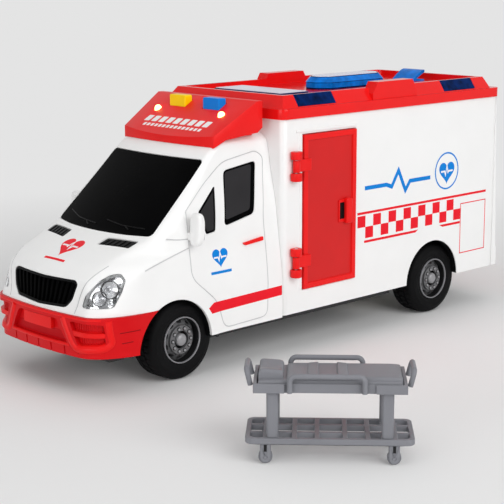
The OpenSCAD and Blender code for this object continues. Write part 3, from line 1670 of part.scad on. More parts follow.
module stretcher_base() {
  cheek_y = caster_w / 2 + fork_gap;
  color("gray")
    stretcher_place()
      difference() {
        union() {
          translate([0, 0, base_z])
            linear_extrude(base_t)
              difference() {
                rounded_rect(base_l, base_w, base_corner_r);
                rounded_rect(base_l - 2 * base_bar_w, base_w - 2 * base_bar_w,
                  base_corner_r - base_bar_w / 2);
              }
          for (share = base_bar_shares)
            translate([base_l * share - base_bar_w / 2, -base_w / 2 + base_bar_w / 2, base_z])
              cube([base_bar_w, base_w - base_bar_w, base_t]);
          for (y = [-base_rib_y, base_rib_y])
            translate([-base_l / 2 + base_bar_w / 2, y - base_bar_w / 2, base_z])
              cube([base_l - base_bar_w, base_bar_w, base_t]);
          for (x = [-leg_x, leg_x], y = [-leg_y, leg_y])
            translate([x - leg_l / 2, y - leg_w / 2, base_z])
              cube([leg_l, leg_w, base_t]);
          caster_places() {
            translate([-fork_l / 2, -cheek_y - fork_t, base_z + base_t / 2 - fork_block_t])
              cube([fork_l, 2 * (cheek_y + fork_t), fork_block_t]);
            for (side = [-1, 1])
              translate([-fork_l / 2, side * (cheek_y + fork_t / 2) - fork_t / 2, caster_r])
                cube([fork_l, fork_t, base_z - caster_r]);
            for (side = [-1, 1])
              rod_y(0, caster_r, fork_l / 2, side * (cheek_y + fork_t / 2) - fork_t / 2,
                side * (cheek_y + fork_t / 2) + fork_t / 2);
          }
        }
        caster_places()
          rod_y(0, caster_r, caster_pin_r + run_gap / 2, -base_w, base_w);
      }
}

module caster_pins() {
  pin_half_l = caster_w / 2 + fork_gap + fork_t;
  color("silver")
    stretcher_place()
      caster_places()
        rod_y(0, caster_r, caster_pin_r, -pin_half_l, pin_half_l);
}

module caster_wheel(x, y) {
  color("dimgray")
    stretcher_place()
      translate([x * caster_pitch / 2, y * fork_y, 0])
        difference() {
          rod_y(0, caster_r, caster_r, -caster_w / 2, caster_w / 2);
          rod_y(0, caster_r, caster_pin_r + run_gap, -caster_w, caster_w);
        }
}

module caster_wheel_1() {
  caster_wheel(-1, -1);
}

module caster_wheel_2() {
  caster_wheel(1, -1);
}

module caster_wheel_3() {
  caster_wheel(-1, 1);
}

module caster_wheel_4() {
  caster_wheel(1, 1);
}

chassis();
battery_cover();
battery_cells();
power_switch();
chassis_screws();
speaker();
sound_board();
gearbox_case();
front_axle();
rear_axle();
drive_gear();
idler_gear();
flywheel();
front_left_tyre();
front_right_tyre();
rear_left_tyre();
rear_right_tyre();
front_left_rim();
front_right_rim();
rear_left_rim();
rear_right_rim();
cab_shell();
windscreen();
cab_side_windows();
grille();
hood_vents();
headlamp_lenses();
headlamp_reflectors();
front_bumper();
roof_cap();
yellow_button();
blue_button();
button_board();
warning_lamps();
door_mirrors();
box_shell();
box_floor();
box_roof();
curb_lenses();
roof_light_bar();
roof_front_panel();
roof_visor();
side_door();
side_door_handle();
side_hinge_brackets();
side_hinge_pins();
rear_door_left();
rear_door_right();
rear_hinge_pins();
tail_lamps();
stretcher_tray();
stretcher_mattress();
stretcher_rails();
stretcher_legs();
stretcher_base();
caster_pins();
caster_wheel_1();
caster_wheel_2();
caster_wheel_3();
caster_wheel_4();
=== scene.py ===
import math
from functools import partial

import bmesh
import bpy
import numpy as np
from mathutils import Matrix, Vector
from mathutils.geometry import delaunay_2d_cdt


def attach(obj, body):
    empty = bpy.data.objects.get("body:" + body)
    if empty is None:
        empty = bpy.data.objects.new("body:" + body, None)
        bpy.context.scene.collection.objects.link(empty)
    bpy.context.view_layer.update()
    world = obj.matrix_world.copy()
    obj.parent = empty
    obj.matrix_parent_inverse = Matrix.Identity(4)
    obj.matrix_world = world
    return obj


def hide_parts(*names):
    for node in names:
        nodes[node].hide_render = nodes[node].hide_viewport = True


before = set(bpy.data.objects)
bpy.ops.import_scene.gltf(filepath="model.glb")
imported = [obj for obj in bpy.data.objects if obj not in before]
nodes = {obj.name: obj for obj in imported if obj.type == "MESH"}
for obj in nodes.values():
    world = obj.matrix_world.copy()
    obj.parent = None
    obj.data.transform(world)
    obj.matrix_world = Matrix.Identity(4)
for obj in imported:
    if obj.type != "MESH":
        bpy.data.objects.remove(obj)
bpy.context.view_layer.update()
scene = bpy.context.scene
MM = 0.001
TURN = 2 * math.pi

# Sizes shared with the solids, in millimetres
BOX_HALF_W = 41.0
CAB_REAR, CAB_L, SILL, CAB_H, HALF_W = 27.7, 107.6, 18.6, 85.6, 41.0
FRONT_AXLE, REAR_AXLE, AXLE_Z, WHEEL_FACE = 85.3, -87.9, 18.0, 37.0
TYRE_R, TYRE_W = 18.0, 15.0
ARCH_X, ARCH_Z, ARCH_R = 92.5, 17.5, 20.4
REAR_ARCH_X, REAR_ARCH_Z = -81.9, 19.1
BUMPER_OUT = 0.8
DECK_Z = 117.3

# Half the width of a cutter that passes right through the van
THROUGH = 60.0

# The cab's skin over shares of its height: the nose in shares of the length, the rest of the half width
NOSE = [(0, .993), (.13, 1), (.194, .998), (.232, .987), (.355, .968), (.39, .945), (.426, .908),
        (.454, .866), (.474, .832), (.495, .792), (.513, .757), (.53, .725), (.548, .699), (.565, .683),
        (.721, .542), (.889, .388), (.916, .364), (.939, .339), (.968, .295), (.988, .234), (1, .15)]
HALF = [(0, 1), (.19, .997), (.38, .955), (.46, .932), (.604, .895), (.822, .802), (.892, .776), (.953, .746),
        (.973, .707), (.99, .644), (1, .585)]
BOW = [(.2, .11), (.355, .122), (.46, .159), (.5, .166), (.56, .146), (.72, .122), (.89, .073)]
CORNER_L = [(0, .62), (.2, .537), (.355, .463), (.39, .44), (.426, .52), (.465, .71), (.5, .56), (.53, .38),
            (.56, .24), (.65, .146), (.72, .122), (.89, .098)]
CORNER_W = [(0, .36), (.2, .293), (.355, .341), (.39, .317), (.426, .268), (.465, .244), (.5, .195),
            (.53, .146), (.56, .122), (.65, .098), (.72, .085), (.89, .049), (.95, .049), (1, .073)]


# Finishes

def shader_node(tree, kind, **values):
    """A new node with some of its inputs set; an underscore in a name stands for a space."""
    node = tree.nodes.new("ShaderNode" + kind)
    for name, value in values.items():
        node.inputs[name.replace("_", " ")].default_value = value
    return node


def plastic(name, color, rough=0.3, vary=0.03, grain=0.03, grain_scale=2600.0, coat=0.0, metallic=0.0,
            rough_vary=0.06, sheen_scale=60.0, transmission=0.0, ior=1.5, specular=0.5):
    """Moulded finish: faint colour drift, uneven gloss and a fine moulded grain."""
    material = bpy.data.materials.new(name)
    material.use_nodes = True
    tree = material.node_tree
    shader = tree.nodes["Principled BSDF"]
    link = tree.links.new
    coords = shader_node(tree, "TexCoord")

    def noise(scale, detail):
        node = shader_node(tree, "TexNoise", Scale=scale, Detail=detail)
        link(coords.outputs["Object"], node.inputs["Vector"])
        return node.outputs["Fac"]

    drift = noise(sheen_scale, 3.0)
    ramp = shader_node(tree, "ValToRGB")
    for element, position, share in zip(ramp.color_ramp.elements, (0.3, 0.7), (1 - vary, 1 + vary)):
        element.position = position
        element.color = tuple(min(1.0, c * share) for c in color) + (1.0,)
    link(drift, ramp.inputs["Fac"])
    link(ramp.outputs["Color"], shader.inputs["Base Color"])
    gloss = shader_node(tree, "MapRange", To_Min=max(0.02, rough - rough_vary), To_Max=rough + rough_vary)
    link(drift, gloss.inputs["Value"])
    link(gloss.outputs["Result"], shader.inputs["Roughness"])
    if grain > 0:
        bump = shader_node(tree, "Bump", Strength=grain, Distance=0.0002)
        link(noise(grain_scale, 2.0), bump.inputs["Height"])
        link(bump.outputs["Normal"], shader.inputs["Normal"])
    sockets = {"Metallic": metallic, "IOR": ior, "Specular IOR Level": specular,
               "Transmission Weight": transmission, "Coat Weight": coat, "Coat Roughness": 0.06}
    for socket, value in sockets.items():
        shader.inputs[socket].default_value = value
    return material


def glow(material, color, strength):
    shader = material.node_tree.nodes["Principled BSDF"]
    shader.inputs["Emission Color"].default_value = tuple(color) + (1.0,)
    shader.inputs["Emission Strength"].default_value = strength
    return material


glossy = partial(plastic, grain=0.0, rough_vary=0.03)
printed = partial(plastic, rough=0.42, grain=0.02)
WHITE = plastic("white_plastic", (0.86, 0.86, 0.855), rough=0.34, vary=0.012, grain=0.02)
RED = plastic("red_plastic", (0.80, 0.008, 0.008), rough=0.36, vary=0.04, specular=0.2)
ROOF_RED = glossy("roof_red_plastic", (0.80, 0.008, 0.008), rough=0.16, vary=0.04, specular=0.22)
DOOR_RED = plastic("door_red_plastic", (0.62, 0.009, 0.009), rough=0.4, vary=0.04, grain=0.08,
                   grain_scale=1800.0, specular=0.26)
DECAL_RED = printed("printed_red", (0.80, 0.006, 0.018), specular=0.15)
DECAL_BLUE = printed("printed_blue", (0.001, 0.21, 0.66), specular=0.12)
DECAL_WHITE = printed("printed_white", (0.86, 0.84, 0.84), rough=0.45)
# The bumper's red is a darker copy of the red plastic: painted shade
SHADED_BUMPER_RED = plastic("shaded_bumper_red_plastic", (0.64, 0.005, 0.008), rough=0.36, vary=0.04,
                     specular=0.14)
GLAZING = glossy("black_glazing", (0.002, 0.002, 0.0022), rough=0.22, vary=0.2, specular=0.012)
# Smoked pane grey, made lighter than its own tone as a painted reflection
SMOKED_PANE_AND_REFLECTION = glossy("smoked_pane", (0.03, 0.029, 0.031), rough=0.22, vary=0.12, specular=0.06)
TRIM_BLACK = plastic("black_trim", (0.004, 0.004, 0.0045), rough=0.4, vary=0.2, grain=0.05, specular=0.1)
CHASSIS_BLACK = plastic("chassis_black", (0.016, 0.016, 0.018), rough=0.55, vary=0.15, grain=0.15,
                        grain_scale=1500.0)
TYRE = plastic("tyre_rubber", (0.0045, 0.0045, 0.005), rough=0.66, vary=0.25, grain=0.25, grain_scale=1400.0,
               specular=0.1)
RIM_RING = plastic("rim_silver", (0.27, 0.27, 0.285), rough=0.34, vary=0.05, grain=0.04, metallic=0.35)
# Near-black painted shade for the rim's deep wall and other narrow gaps
RECESS_SHADE_BLACK = plastic("recess_shade_black", (0.012, 0.012, 0.013), rough=0.45, vary=0.12, grain=0.05, specular=0.2)
RIM_HUB = plastic("rim_hub", (0.13, 0.13, 0.135), rough=0.4, vary=0.08, grain=0.05, metallic=0.2)
RIM_CAP = plastic("rim_cap", (0.30, 0.30, 0.31), rough=0.36, vary=0.06, grain=0.05, metallic=0.2)
# Seam shade grey: painted shade laid in the bottoms of the seam grooves
SEAM_SHADE_GREY = plastic("seam_shade_grey", (0.56, 0.56, 0.57), rough=0.6, vary=0.1, grain=0.05, specular=0.1)
# Recess shade red: painted shade on the floor of the bumper's sunk middle
RECESS_SHADE_RED = plastic("recess_shade_red_plastic", (0.50, 0.002, 0.006), rough=0.45, vary=0.05,
                    specular=0.1)
# Ledge shade red: painted shade lines under the steps on the bumper's sides
LEDGE_SHADE_RED = plastic("ledge_shade_red_plastic", (0.25, 0.002, 0.004), rough=0.45, vary=0.06, specular=0.1)
# Pale top of the blue lenses: a painted reflection
PAINTED_REFLECTION_PALE = plastic("painted_reflection_pale", (0.68, 0.69, 0.82), rough=0.22, grain=0.0, specular=0.4)
BLUE_LENS = glossy("blue_lens", (0.001, 0.17, 0.64), rough=0.16, vary=0.3, sheen_scale=180.0, specular=0.12)
NAVY_LENS = glossy("navy_lens", (0.001, 0.014, 0.085), rough=0.14, vary=0.6, sheen_scale=220.0, specular=0.03)
DARK_CHROME = plastic("lamp_shade", (0.1, 0.1, 0.105), rough=0.25, vary=0.3, grain=0.3, grain_scale=700.0,
                      metallic=0.5)
CHROME = plastic("lamp_reflector", (0.7, 0.7, 0.71), rough=0.13, vary=0.06, grain=0.35, grain_scale=700.0,
                 metallic=0.9)
CLEAR = plastic("lamp_lens", (0.96, 0.97, 0.98), rough=0.03, vary=0.01, grain=0.05, grain_scale=900.0,
                transmission=1.0, ior=1.3, rough_vary=0.01)
YELLOW = plastic("yellow_plastic", (0.96, 0.66, 0.001), rough=0.32, grain=0.02, specular=0.2)
BUTTON_BLUE = plastic("button_blue_plastic", (0.001, 0.2, 0.72), rough=0.32, grain=0.02,
                      specular=0.18)
LAMP_ORANGE = glow(plastic("warning_lamp_lens", (0.95, 0.62, 0.18), rough=0.2, grain=0.0),
                   (1.0, 0.62, 0.2), 6.0)
TAIL_RED = plastic("tail_lamp_red", (0.55, 0.006, 0.008), rough=0.12, vary=0.1, grain=0.0, coat=0.6)
GREY = plastic("grey_plastic", (0.21, 0.213, 0.234), rough=0.42, vary=0.04, grain=0.06, specular=0.16)
STEEL = plastic("bright_steel", (0.55, 0.55, 0.57), rough=0.28, vary=0.06, grain=0.05, metallic=1.0)
GEAR = plastic("gear_plastic", (0.72, 0.69, 0.60), rough=0.5, grain=0.04)
BOARD = plastic("circuit_board", (0.02, 0.16, 0.06), rough=0.45, vary=0.1, grain=0.05)
CELL = plastic("cell_can", (0.42, 0.27, 0.05), rough=0.35, vary=0.08, grain=0.02, metallic=0.6)


# Mesh helpers, all in millimetres

def add(name, data):
    obj = bpy.data.objects.new(name, data)
    scene.collection.objects.link(obj)
    return obj


def build(name, verts, faces, material, sharp=32.0):
    mesh = bpy.data.meshes.new(name)
    mesh.from_pydata([tuple(c * MM for c in v) for v in verts], [], [tuple(f) for f in faces])
    mesh.validate()
    mesh.materials.append(material)
    obj = add(name, mesh)
    shade(obj, sharp)
    return obj


def shade(obj, sharp=32.0):
    """Smooth shading with sharp edges where faces meet at more than an angle."""
    bm = bmesh.new()
    bm.from_mesh(obj.data)
    bmesh.ops.recalc_face_normals(bm, faces=bm.faces)
    limit = math.radians(sharp)
    for face in bm.faces:
        face.smooth = True
    for edge in bm.edges:
        edge.smooth = len(edge.link_faces) == 2 and edge.calc_face_angle(0.0) < limit
    bm.to_mesh(obj.data)
    bm.free()


def fuse(obj, sharp=32.0):
    """Merges points that fall together, such as those on the axis of a turned piece."""
    bm = bmesh.new()
    bm.from_mesh(obj.data)
    bmesh.ops.remove_doubles(bm, verts=bm.verts, dist=1e-7)
    bmesh.ops.dissolve_degenerate(bm, edges=bm.edges, dist=1e-8)
    bm.to_mesh(obj.data)
    bm.free()
    shade(obj, sharp)
    return obj


def keep(obj, replaces=(), body="vehicle"):
    """Makes a finished piece part of the object."""
    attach(obj, body)
    if replaces:
        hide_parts(*replaces)


def soften(obj, width, segments=3, angle=30.0):
    """Rounds the edges of a piece with modifiers and leaves its mesh alone."""
    weld = obj.modifiers.new("weld", "WELD")
    weld.merge_threshold = 0.00001
    bevel = obj.modifiers.new("bevel", "BEVEL")
    bevel.width = width * MM
    bevel.segments = segments
    bevel.limit_method = "ANGLE"
    bevel.angle_limit = math.radians(angle)
    bevel.use_clamp_overlap = True
    bevel.harden_normals = True


def settle(obj):
    """Applies a piece's modifiers to its mesh."""
    bpy.context.view_layer.update()
    done = bpy.data.meshes.new_from_object(obj.evaluated_get(bpy.context.evaluated_depsgraph_get()))
    obj.modifiers.clear()
    obj.data = done


def carve(obj, cutters, operation="DIFFERENCE"):
    """Cuts a closed piece by closed cutters, one after the other, and removes the cutters."""
    for cutter in cutters:
        step = obj.modifiers.new("cut", "BOOLEAN")
        step.operation = operation
        step.solver = "MANIFOLD"
        step.object = cutter
        settle(obj)
        bpy.data.objects.remove(cutter)


def join(name, pieces):
    """Joins several pieces into one, with their materials."""
    bm = bmesh.new()
    materials = []
    for piece in pieces:
        own = []
        for material in piece.data.materials:
            if material not in materials:
                materials.append(material)
            own.append(materials.index(material))
        start = len(bm.faces)
        bm.from_mesh(piece.data)
        bm.faces.ensure_lookup_table()
        for face in bm.faces[start:]:
            face.material_index = own[min(face.material_index, len(own) - 1)]
    mesh = bpy.data.meshes.new(name)
    bm.to_mesh(mesh)
    bm.free()
    for material in materials:
        mesh.materials.append(material)
    for piece in pieces:
        bpy.data.objects.remove(piece)
    return add(name, mesh)


def both_sides(pieces):
    """The pieces, followed by their copies on the other side of the van."""
    twins = []
    for piece in pieces:
        mesh = piece.data.copy()
        mesh.transform(Matrix.Scale(-1, 4, (0, 1, 0)))
        mesh.flip_normals()
        twins.append(add("right_" + piece.name, mesh))
    return pieces + twins


# Outlines

def to_side(points, sign):
    """Points of the left side, kept there (1) or moved over to the right (-1)."""
    return [(sign * y, z) for y, z in points]


def angles(count):
    return [TURN * i / count for i in range(count)]


def arc(x, y, r, at):
    return [(x + r * math.cos(a), y + r * math.sin(a)) for a in at]


def circle(x, y, r, count):
    return arc(x, y, r, angles(count))


def rect(x0, y0, x1, y1):
    return [(x0, y0), (x1, y0), (x1, y1), (x0, y1)]


def signed_power(value, exponent):
    return math.copysign(abs(value) ** exponent, value)


def bend(points, radius, steps=5):
    """An open chain with its inner corners rounded."""
    out = [tuple(points[0])]
    for i in range(1, len(points) - 1):
        p0, p1, p2 = (np.array(points[i + k], float) for k in (-1, 0, 1))
        a, b = p0 - p1, p2 - p1
        la, lb = np.linalg.norm(a), np.linalg.norm(b)
        r = min(radius, la * 0.45, lb * 0.45)
        start, end = p1 + a / la * r, p1 + b / lb * r
        for k in range(steps + 1):
            t = k / steps
            out.append(tuple((1 - t) ** 2 * start + 2 * t * (1 - t) * p1 + t * t * end))
    return out + [tuple(points[-1])]


def rounded(points, radius, steps=5):
    """An outline with its corners rounded off."""
    return bend([points[-1], *points, points[0]], radius, steps)[1:-1]


def octagon(x, half_l, half_w, chamfer, radius=0.8):
    """A long outline in plan about the middle of the van, with its corners cut off."""
    a, b = half_l - chamfer, half_w - chamfer
    corners = [(half_l, b), (a, half_w), (-a, half_w), (-half_l, b),
               (-half_l, -b), (-a, -half_w), (a, -half_w), (half_l, -b)]
    return rounded([(x + u, v) for u, v in corners], radius, 3)


def grown(outline, gap):
    """An outline moved out by a gap."""
    pts = np.array(outline, float)
    before, after = np.roll(pts, 1, axis=0), np.roll(pts, -1, axis=0)
    area = 0.5 * np.sum(pts[:, 0] * after[:, 1] - after[:, 0] * pts[:, 1])
    along = after - before
    length = np.linalg.norm(along, axis=1)[:, None]
    length[length == 0] = 1
    normal = np.stack([along[:, 1], -along[:, 0]], axis=1) / length * math.copysign(1, area)
    return [tuple(p) for p in pts + normal * gap]


def steps_along(points, step):
    """A chain of straight steps, split into short ones."""
    chain = [np.array(p, float) for p in points]
    out = []
    for a, b in zip(chain, chain[1:]):
        n = max(1, int(math.ceil(np.linalg.norm(b - a) / step)))
        out += [a + (b - a) * k / n for k in range(n)]
    return np.array(out + chain[-1:])


def inside(polygon, px, py):
    """Which points lie inside a polygon."""
    result = np.zeros(px.shape, bool)
    for (ax, ay), (bx, by) in zip(polygon, np.roll(polygon, -1, axis=0)):
        if ay != by:
            crosses = (ay > py) != (by > py)
            result ^= crosses & (px < (bx - ax) * (py - ay) / (by - ay) + ax)
    return result


def triangulate(outline, step, holes=()):
    """Even triangles inside an outline, with a point every step."""
    rims = [steps_along([*rim, rim[0]], step)[:-1] for rim in (outline, *holes)]

    def in_field(px, py):
        result = inside(rims[0], px, py)
        for rim in rims[1:]:
            result &= ~inside(rim, px, py)
        return result

    points, edges = [], []
    for rim in rims:
        base, count = len(points), len(rim)
        points += [tuple(p) for p in rim]
        edges += [(base + i, base + (i + 1) % count) for i in range(count)]
    rim_points = np.array(points)
    low, high = rim_points.min(0) + step / 2, rim_points.max(0)
    grid = np.meshgrid(np.arange(low[0], high[0], step), np.arange(low[1], high[1], step))
    gx, gy = (values.ravel() for values in grid)
    field = in_field(gx, gy)
    for x, y in zip(gx[field], gy[field]):
        if np.min(np.hypot(rim_points[:, 0] - x, rim_points[:, 1] - y)) > step * 0.45:
            points.append((x, y))
    verts, _, faces, _, _, _ = delaunay_2d_cdt([Vector(p) for p in points], edges, [], 1, 1e-5)
    verts = [tuple(v) for v in verts]
    if holes:
        middles = np.array([np.mean([verts[i] for i in f], axis=0) for f in faces])
        faces = [f for f, good in zip(faces, in_field(middles[:, 0], middles[:, 1])) if good]
    return verts, [tuple(f) for f in faces]


# Forms

def skin(name, rings, material, sharp=32.0, loop=False):
    """A closed form through rings of equal counts, with its ends capped or, in a loop, joined."""
    count = len(rings[0])
    verts = [p for ring in rings for p in ring]
    total = len(verts)
    faces = []
    for start in range(0, total if loop else total - count, count):
        after = (start + count) % total
        for i in range(count):
            j = (i + 1) % count
            faces.append((start + i, start + j, after + j, after + i))
    if not loop:
        faces += [tuple(range(count))[::-1], tuple(range(total - count, total))]
    return build(name, verts, faces, material, sharp)


def prism(name, outline, axis, low, high, material):
    """An outline drawn along an axis. Along Y the outline is (x, z), along X (y, z) and along Z (x, y)."""
    order = {"x": (2, 0, 1), "y": (0, 2, 1), "z": (0, 1, 2)}[axis]
    return skin(name, [[tuple((*p, t)[i] for i in order) for p in outline] for t in (low, high)], material)


def stack(name, rings, material):
    """A closed form through outlines of equal counts, given as pairs of height and outline."""
    return skin(name, [[(x, y, z) for x, y in outline] for z, outline in rings], material, 30.0)


def block(name, low, high, material, bevel=0.0, segments=2):
    obj = prism(name, rect(*low[:2], *high[:2]), "z", low[2], high[2], material)
    if bevel > 0:
        soften(obj, bevel, segments)
        settle(obj)
    return obj


def tube(name, points, radius, material, sides=8):
    """A round tube along points."""
    path = np.array(points, float)
    tangents = np.gradient(path, axis=0)
    tangents /= np.linalg.norm(tangents, axis=1)[:, None]
    side = np.cross(tangents[0], (0.31, 0.17, 0.93))
    rings = []
    for point, tangent in zip(path, tangents):
        side = side - tangent * (side @ tangent)
        side /= np.linalg.norm(side)
        up = np.cross(tangent, side)
        rings.append([tuple(point + radius * (math.cos(a) * side + math.sin(a) * up)) for a in angles(sides)])
    return skin(name, rings, material, 60.0)


def lathe(name, profile, segments, material, place):
    """Turns a closed profile of (radius, depth); place maps (radius, depth, angle) to a point."""
    rings = [[place(r, d, angle) for r, d in profile] for angle in angles(segments)]
    return fuse(skin(name, rings, material, loop=True))


def surface_frame(surface, a, b, eps=0.05):
    """Points and outward normals of a surface."""
    base = surface(a, b)
    da = surface(a + eps, b) - surface(a - eps, b)
    db = surface(a, b + eps) - surface(a, b - eps)
    normal = np.cross(da, db)
    normal /= np.linalg.norm(normal, axis=1)[:, None]
    flip = np.sign(normal @ np.array(surface.out, float))
    flip[flip == 0] = 1
    return base, normal * flip[:, None]


def patch(name, outline, surface, low, high, material, step=1.2, holes=()):
    """A closed skin over a surface: from low to high along the surface's normal, inside an outline."""
    flat, faces = triangulate(outline, step, holes)
    base, normal = surface_frame(surface, *np.array(flat).T)
    count = len(flat)
    verts = [tuple(p) for p in base + normal * high] + [tuple(p) for p in base + normal * low]
    edges = dict.fromkeys((f[i], f[(i + 1) % len(f)]) for f in faces for i in range(len(f)))
    walls = [(j, i, count + i, count + j) for i, j in edges if (j, i) not in edges]
    under = [tuple(count + i for i in reversed(f)) for f in faces]
    return build(name, verts, faces + under + walls, material)


def surface_line(surface, points, step=0.8):
    """Points on a surface along a chain of straight steps."""
    return surface(*steps_along(points, step).T)


def bead(surface, points, radius, sink, material, step=0.8):
    """A round bead along a chain of points on a surface, sunk into it."""
    base, normal = surface_frame(surface, *steps_along(points, step).T)
    return tube("bead", base - normal * sink, radius, material)


# The cab's surface

def smooth_table(rows):
    """A smooth curve through a table that never overshoots it."""
    x, y = np.array(rows, float).T
    h = np.diff(x)
    d = np.diff(y) / h
    m = np.zeros(len(x))
    m[0], m[-1] = d[0], d[-1]
    for i in range(1, len(x) - 1):
        if d[i - 1] * d[i] > 0:
            w1, w2 = 2 * h[i] + h[i - 1], h[i] + 2 * h[i - 1]
            m[i] = (w1 + w2) / (w1 / d[i - 1] + w2 / d[i])

    def curve(s):
        s = np.clip(np.asarray(s, float), x[0], x[-1])
        i = np.clip(np.searchsorted(x, s, "right") - 1, 0, len(x) - 2)
        t = (s - x[i]) / h[i]
        return ((2 * t ** 3 - 3 * t ** 2 + 1) * y[i] + (t ** 3 - 2 * t ** 2 + t) * h[i] * m[i]
                + (3 * t ** 2 - 2 * t ** 3) * y[i + 1] + (t ** 3 - t ** 2) * h[i] * m[i + 1])
    return curve


nose_at, half_at, bow_at = smooth_table(NOSE), smooth_table(HALF), smooth_table(BOW)
corner_l_at, corner_w_at = smooth_table(CORNER_L), smooth_table(CORNER_W)


def half_width(s, out=0.0):
    return HALF_W * half_at(s) + out


def front_x(y, s, out=0.0):
    """How far forward the skin reaches at a place across and a share of the height."""
    w = half_width(s, out)
    corner_w = HALF_W * corner_w_at(s)
    turn = np.clip((np.abs(y) - w + corner_w) / corner_w, 0, 1)
    return (CAB_REAR + CAB_L * nose_at(s) + out - HALF_W * bow_at(s) * (np.abs(y) / w) ** 2
            - HALF_W * corner_l_at(s) * (1 - np.sqrt(np.maximum(0, 1 - turn ** 2))))


def flare(x, z):
    """The swelling of the wing round the front wheel arch."""
    d = np.hypot(x - ARCH_X, z - ARCH_Z) - ARCH_R
    return 0.75 * np.clip(1 - np.abs(d - 1.5) / 7.5, 0, 1) ** 1.5


def bisect(low, high, too_low):
    """Halves spans until they close on where a test stops holding."""
    for _ in range(40):
        mid = (low + high) / 2
        rise = too_low(mid)
        low, high = np.where(rise, mid, low), np.where(rise, high, mid)
    return low


def front_surface(out, facing):
    """The skin of the cab's front over y and z, stood out by a distance."""
    def surface(y, z):
        s = (z - SILL) / CAB_H
        limit = half_width(s, out) * 0.999
        y = np.clip(y, -limit, limit)
        return np.stack([front_x(y, s, out), y, z], axis=1)
    surface.out = facing
    return surface


def on_left(x, z):
    """The left side over x and z."""
    return np.stack([x, half_width((z - SILL) / CAB_H) + flare(x, z), z], axis=1)


def on_hood(x, y):
    """The hood over x and y."""
    def behind(s):
        limit = half_width(s) * 0.999
        return front_x(np.clip(y, -limit, limit), s) > x
    s = bisect(np.full(x.shape, 0.36), np.full(x.shape, 0.6), behind)
    return np.stack([x, y, SILL + CAB_H * s], axis=1)


def on_lamp(t, z):
    """The left front corner over z and t, a measure square to the corner's diagonal."""
    s = (z - SILL) / CAB_H
    inner, outer = np.full(t.shape, 5.0), half_width(s) * 0.9995
    y = bisect(inner, outer, lambda mid: (mid - front_x(mid, s)) / math.sqrt(2) < t)
    return np.stack([front_x(y, s), y, z], axis=1)


on_front, on_bumper = front_surface(0.0, (1, 0, 0.3)), front_surface(BUMPER_OUT, (1, 0, 0))
on_left.out, on_hood.out, on_lamp.out = (0, 1, 0.2), (0.2, 0, 1), (1, 1, 0.4)


def loft(name, levels, out, front_steps, side_steps, material, lower=0.0, swell=False, rear=CAB_REAR):
    """The closed form of the cab between two levels, with its whole skin moved out or in."""
    rings = []
    for s in levels:
        w = float(half_width(s, out))
        z = SILL + CAB_H * s + (out if s > 0.25 else -lower)
        y = w * np.sin(np.linspace(-1, 1, front_steps) * math.pi / 2)
        x = front_x(y, s, out)
        side_x = np.linspace(rear, x[-1], side_steps + 1)[:-1]
        side_swell, front_swell = np.zeros(side_x.shape), np.zeros(x.shape)
        if swell:
            side_swell = flare(side_x, z)
            front_swell = flare(x, z) * np.clip((np.abs(y) / w - 0.8) / 0.2, 0, 1)
        ring = [(a, -w - e, z) for a, e in zip(side_x, side_swell)]
        ring += [(a, b + math.copysign(e, b), z) for a, b, e in zip(x, y, front_swell)]
        ring += [(a, w + e, z) for a, e in zip(side_x[::-1], side_swell[::-1])]
        rings.append(ring)
    return skin(name, rings, material)


# Camera: its place in metres, its angles in degrees and its focal length in pixels of the photograph

CAMERA_PLACE = (0.4771, 0.4858, 0.1808)
YAW, PITCH, ROLL = math.radians(45.97), math.radians(11.73), math.radians(-0.13)
FOCAL_PIXELS, IMAGE_PIXELS, SENSOR = 1410.03, 504, 36.0
camera_data = bpy.data.cameras.new("camera")
camera_data.sensor_width = SENSOR
camera_data.lens = FOCAL_PIXELS / IMAGE_PIXELS * SENSOR
camera_data.clip_start = 0.01
camera_data.clip_end = 50.0
camera = add("camera", camera_data)
camera_turn = (Matrix.Rotation(YAW + math.pi / 2, 4, "Z") @ Matrix.Rotation(math.pi / 2 - PITCH, 4, "X")
               @ Matrix.Rotation(ROLL, 4, "Z"))
camera.matrix_world = Matrix.Translation(CAMERA_PLACE) @ camera_turn
scene.camera = camera

# Outlines on the cab
WINDSCREEN = rounded([(-32.4, 65.4), (-20, 65.0), (0, 64.9), (20, 65.0), (32.4, 65.4), (30.4, 94.7),
                      (-30.4, 94.7)], 1.8)
BIG_WINDOW = rounded([(56.8, 89.2), (36.8, 91.7), (42.1, 68.9), (60.3, 65.5)], 2.2)
BIG_FIELD = rounded([(56.2, 88.5), (39.4, 90.6), (44.2, 70.8), (59.4, 67.9)], 1.6)
QUARTER = rounded([(63.5, 83.3), (74.8, 73.2), (71.4, 63.3), (66.2, 64.0)], 0.9)
GRILLE = rounded([(-17.2, 37.8), (0, 36.9), (17.2, 37.8), (20.5, 41.2), (22.5, 47.9), (20.6, 49.3), (0, 48.8),
                  (-20.6, 49.3), (-22.5, 47.9), (-20.5, 41.2)], 1.4)
VENT_CORNERS = [(103.2, 29.6), (106.6, 12.8), (112.0, 12.2), (108.4, 29.1)]
VENT = rounded(VENT_CORNERS, 0.6)
LAMP = rounded([(-74.4, 38.9), (-61.0, 39.1), (-57.8, 44.8), (-56.1, 50.0), (-58.2, 52.7), (-62.4, 52.3),
                (-66.6, 50.2), (-72.6, 44.2)], 1.3)
CAB_DOOR = [(82, 74.5), (82, 45.5), (68.1, 33.2), (64, 20.4), (37.2, 21.3), (36.4, 51), (36.4, 66.9),
            (31.8, 93.3), (36, 96.2), (57, 93.2), (70, 84.5), (82, 74.5)]

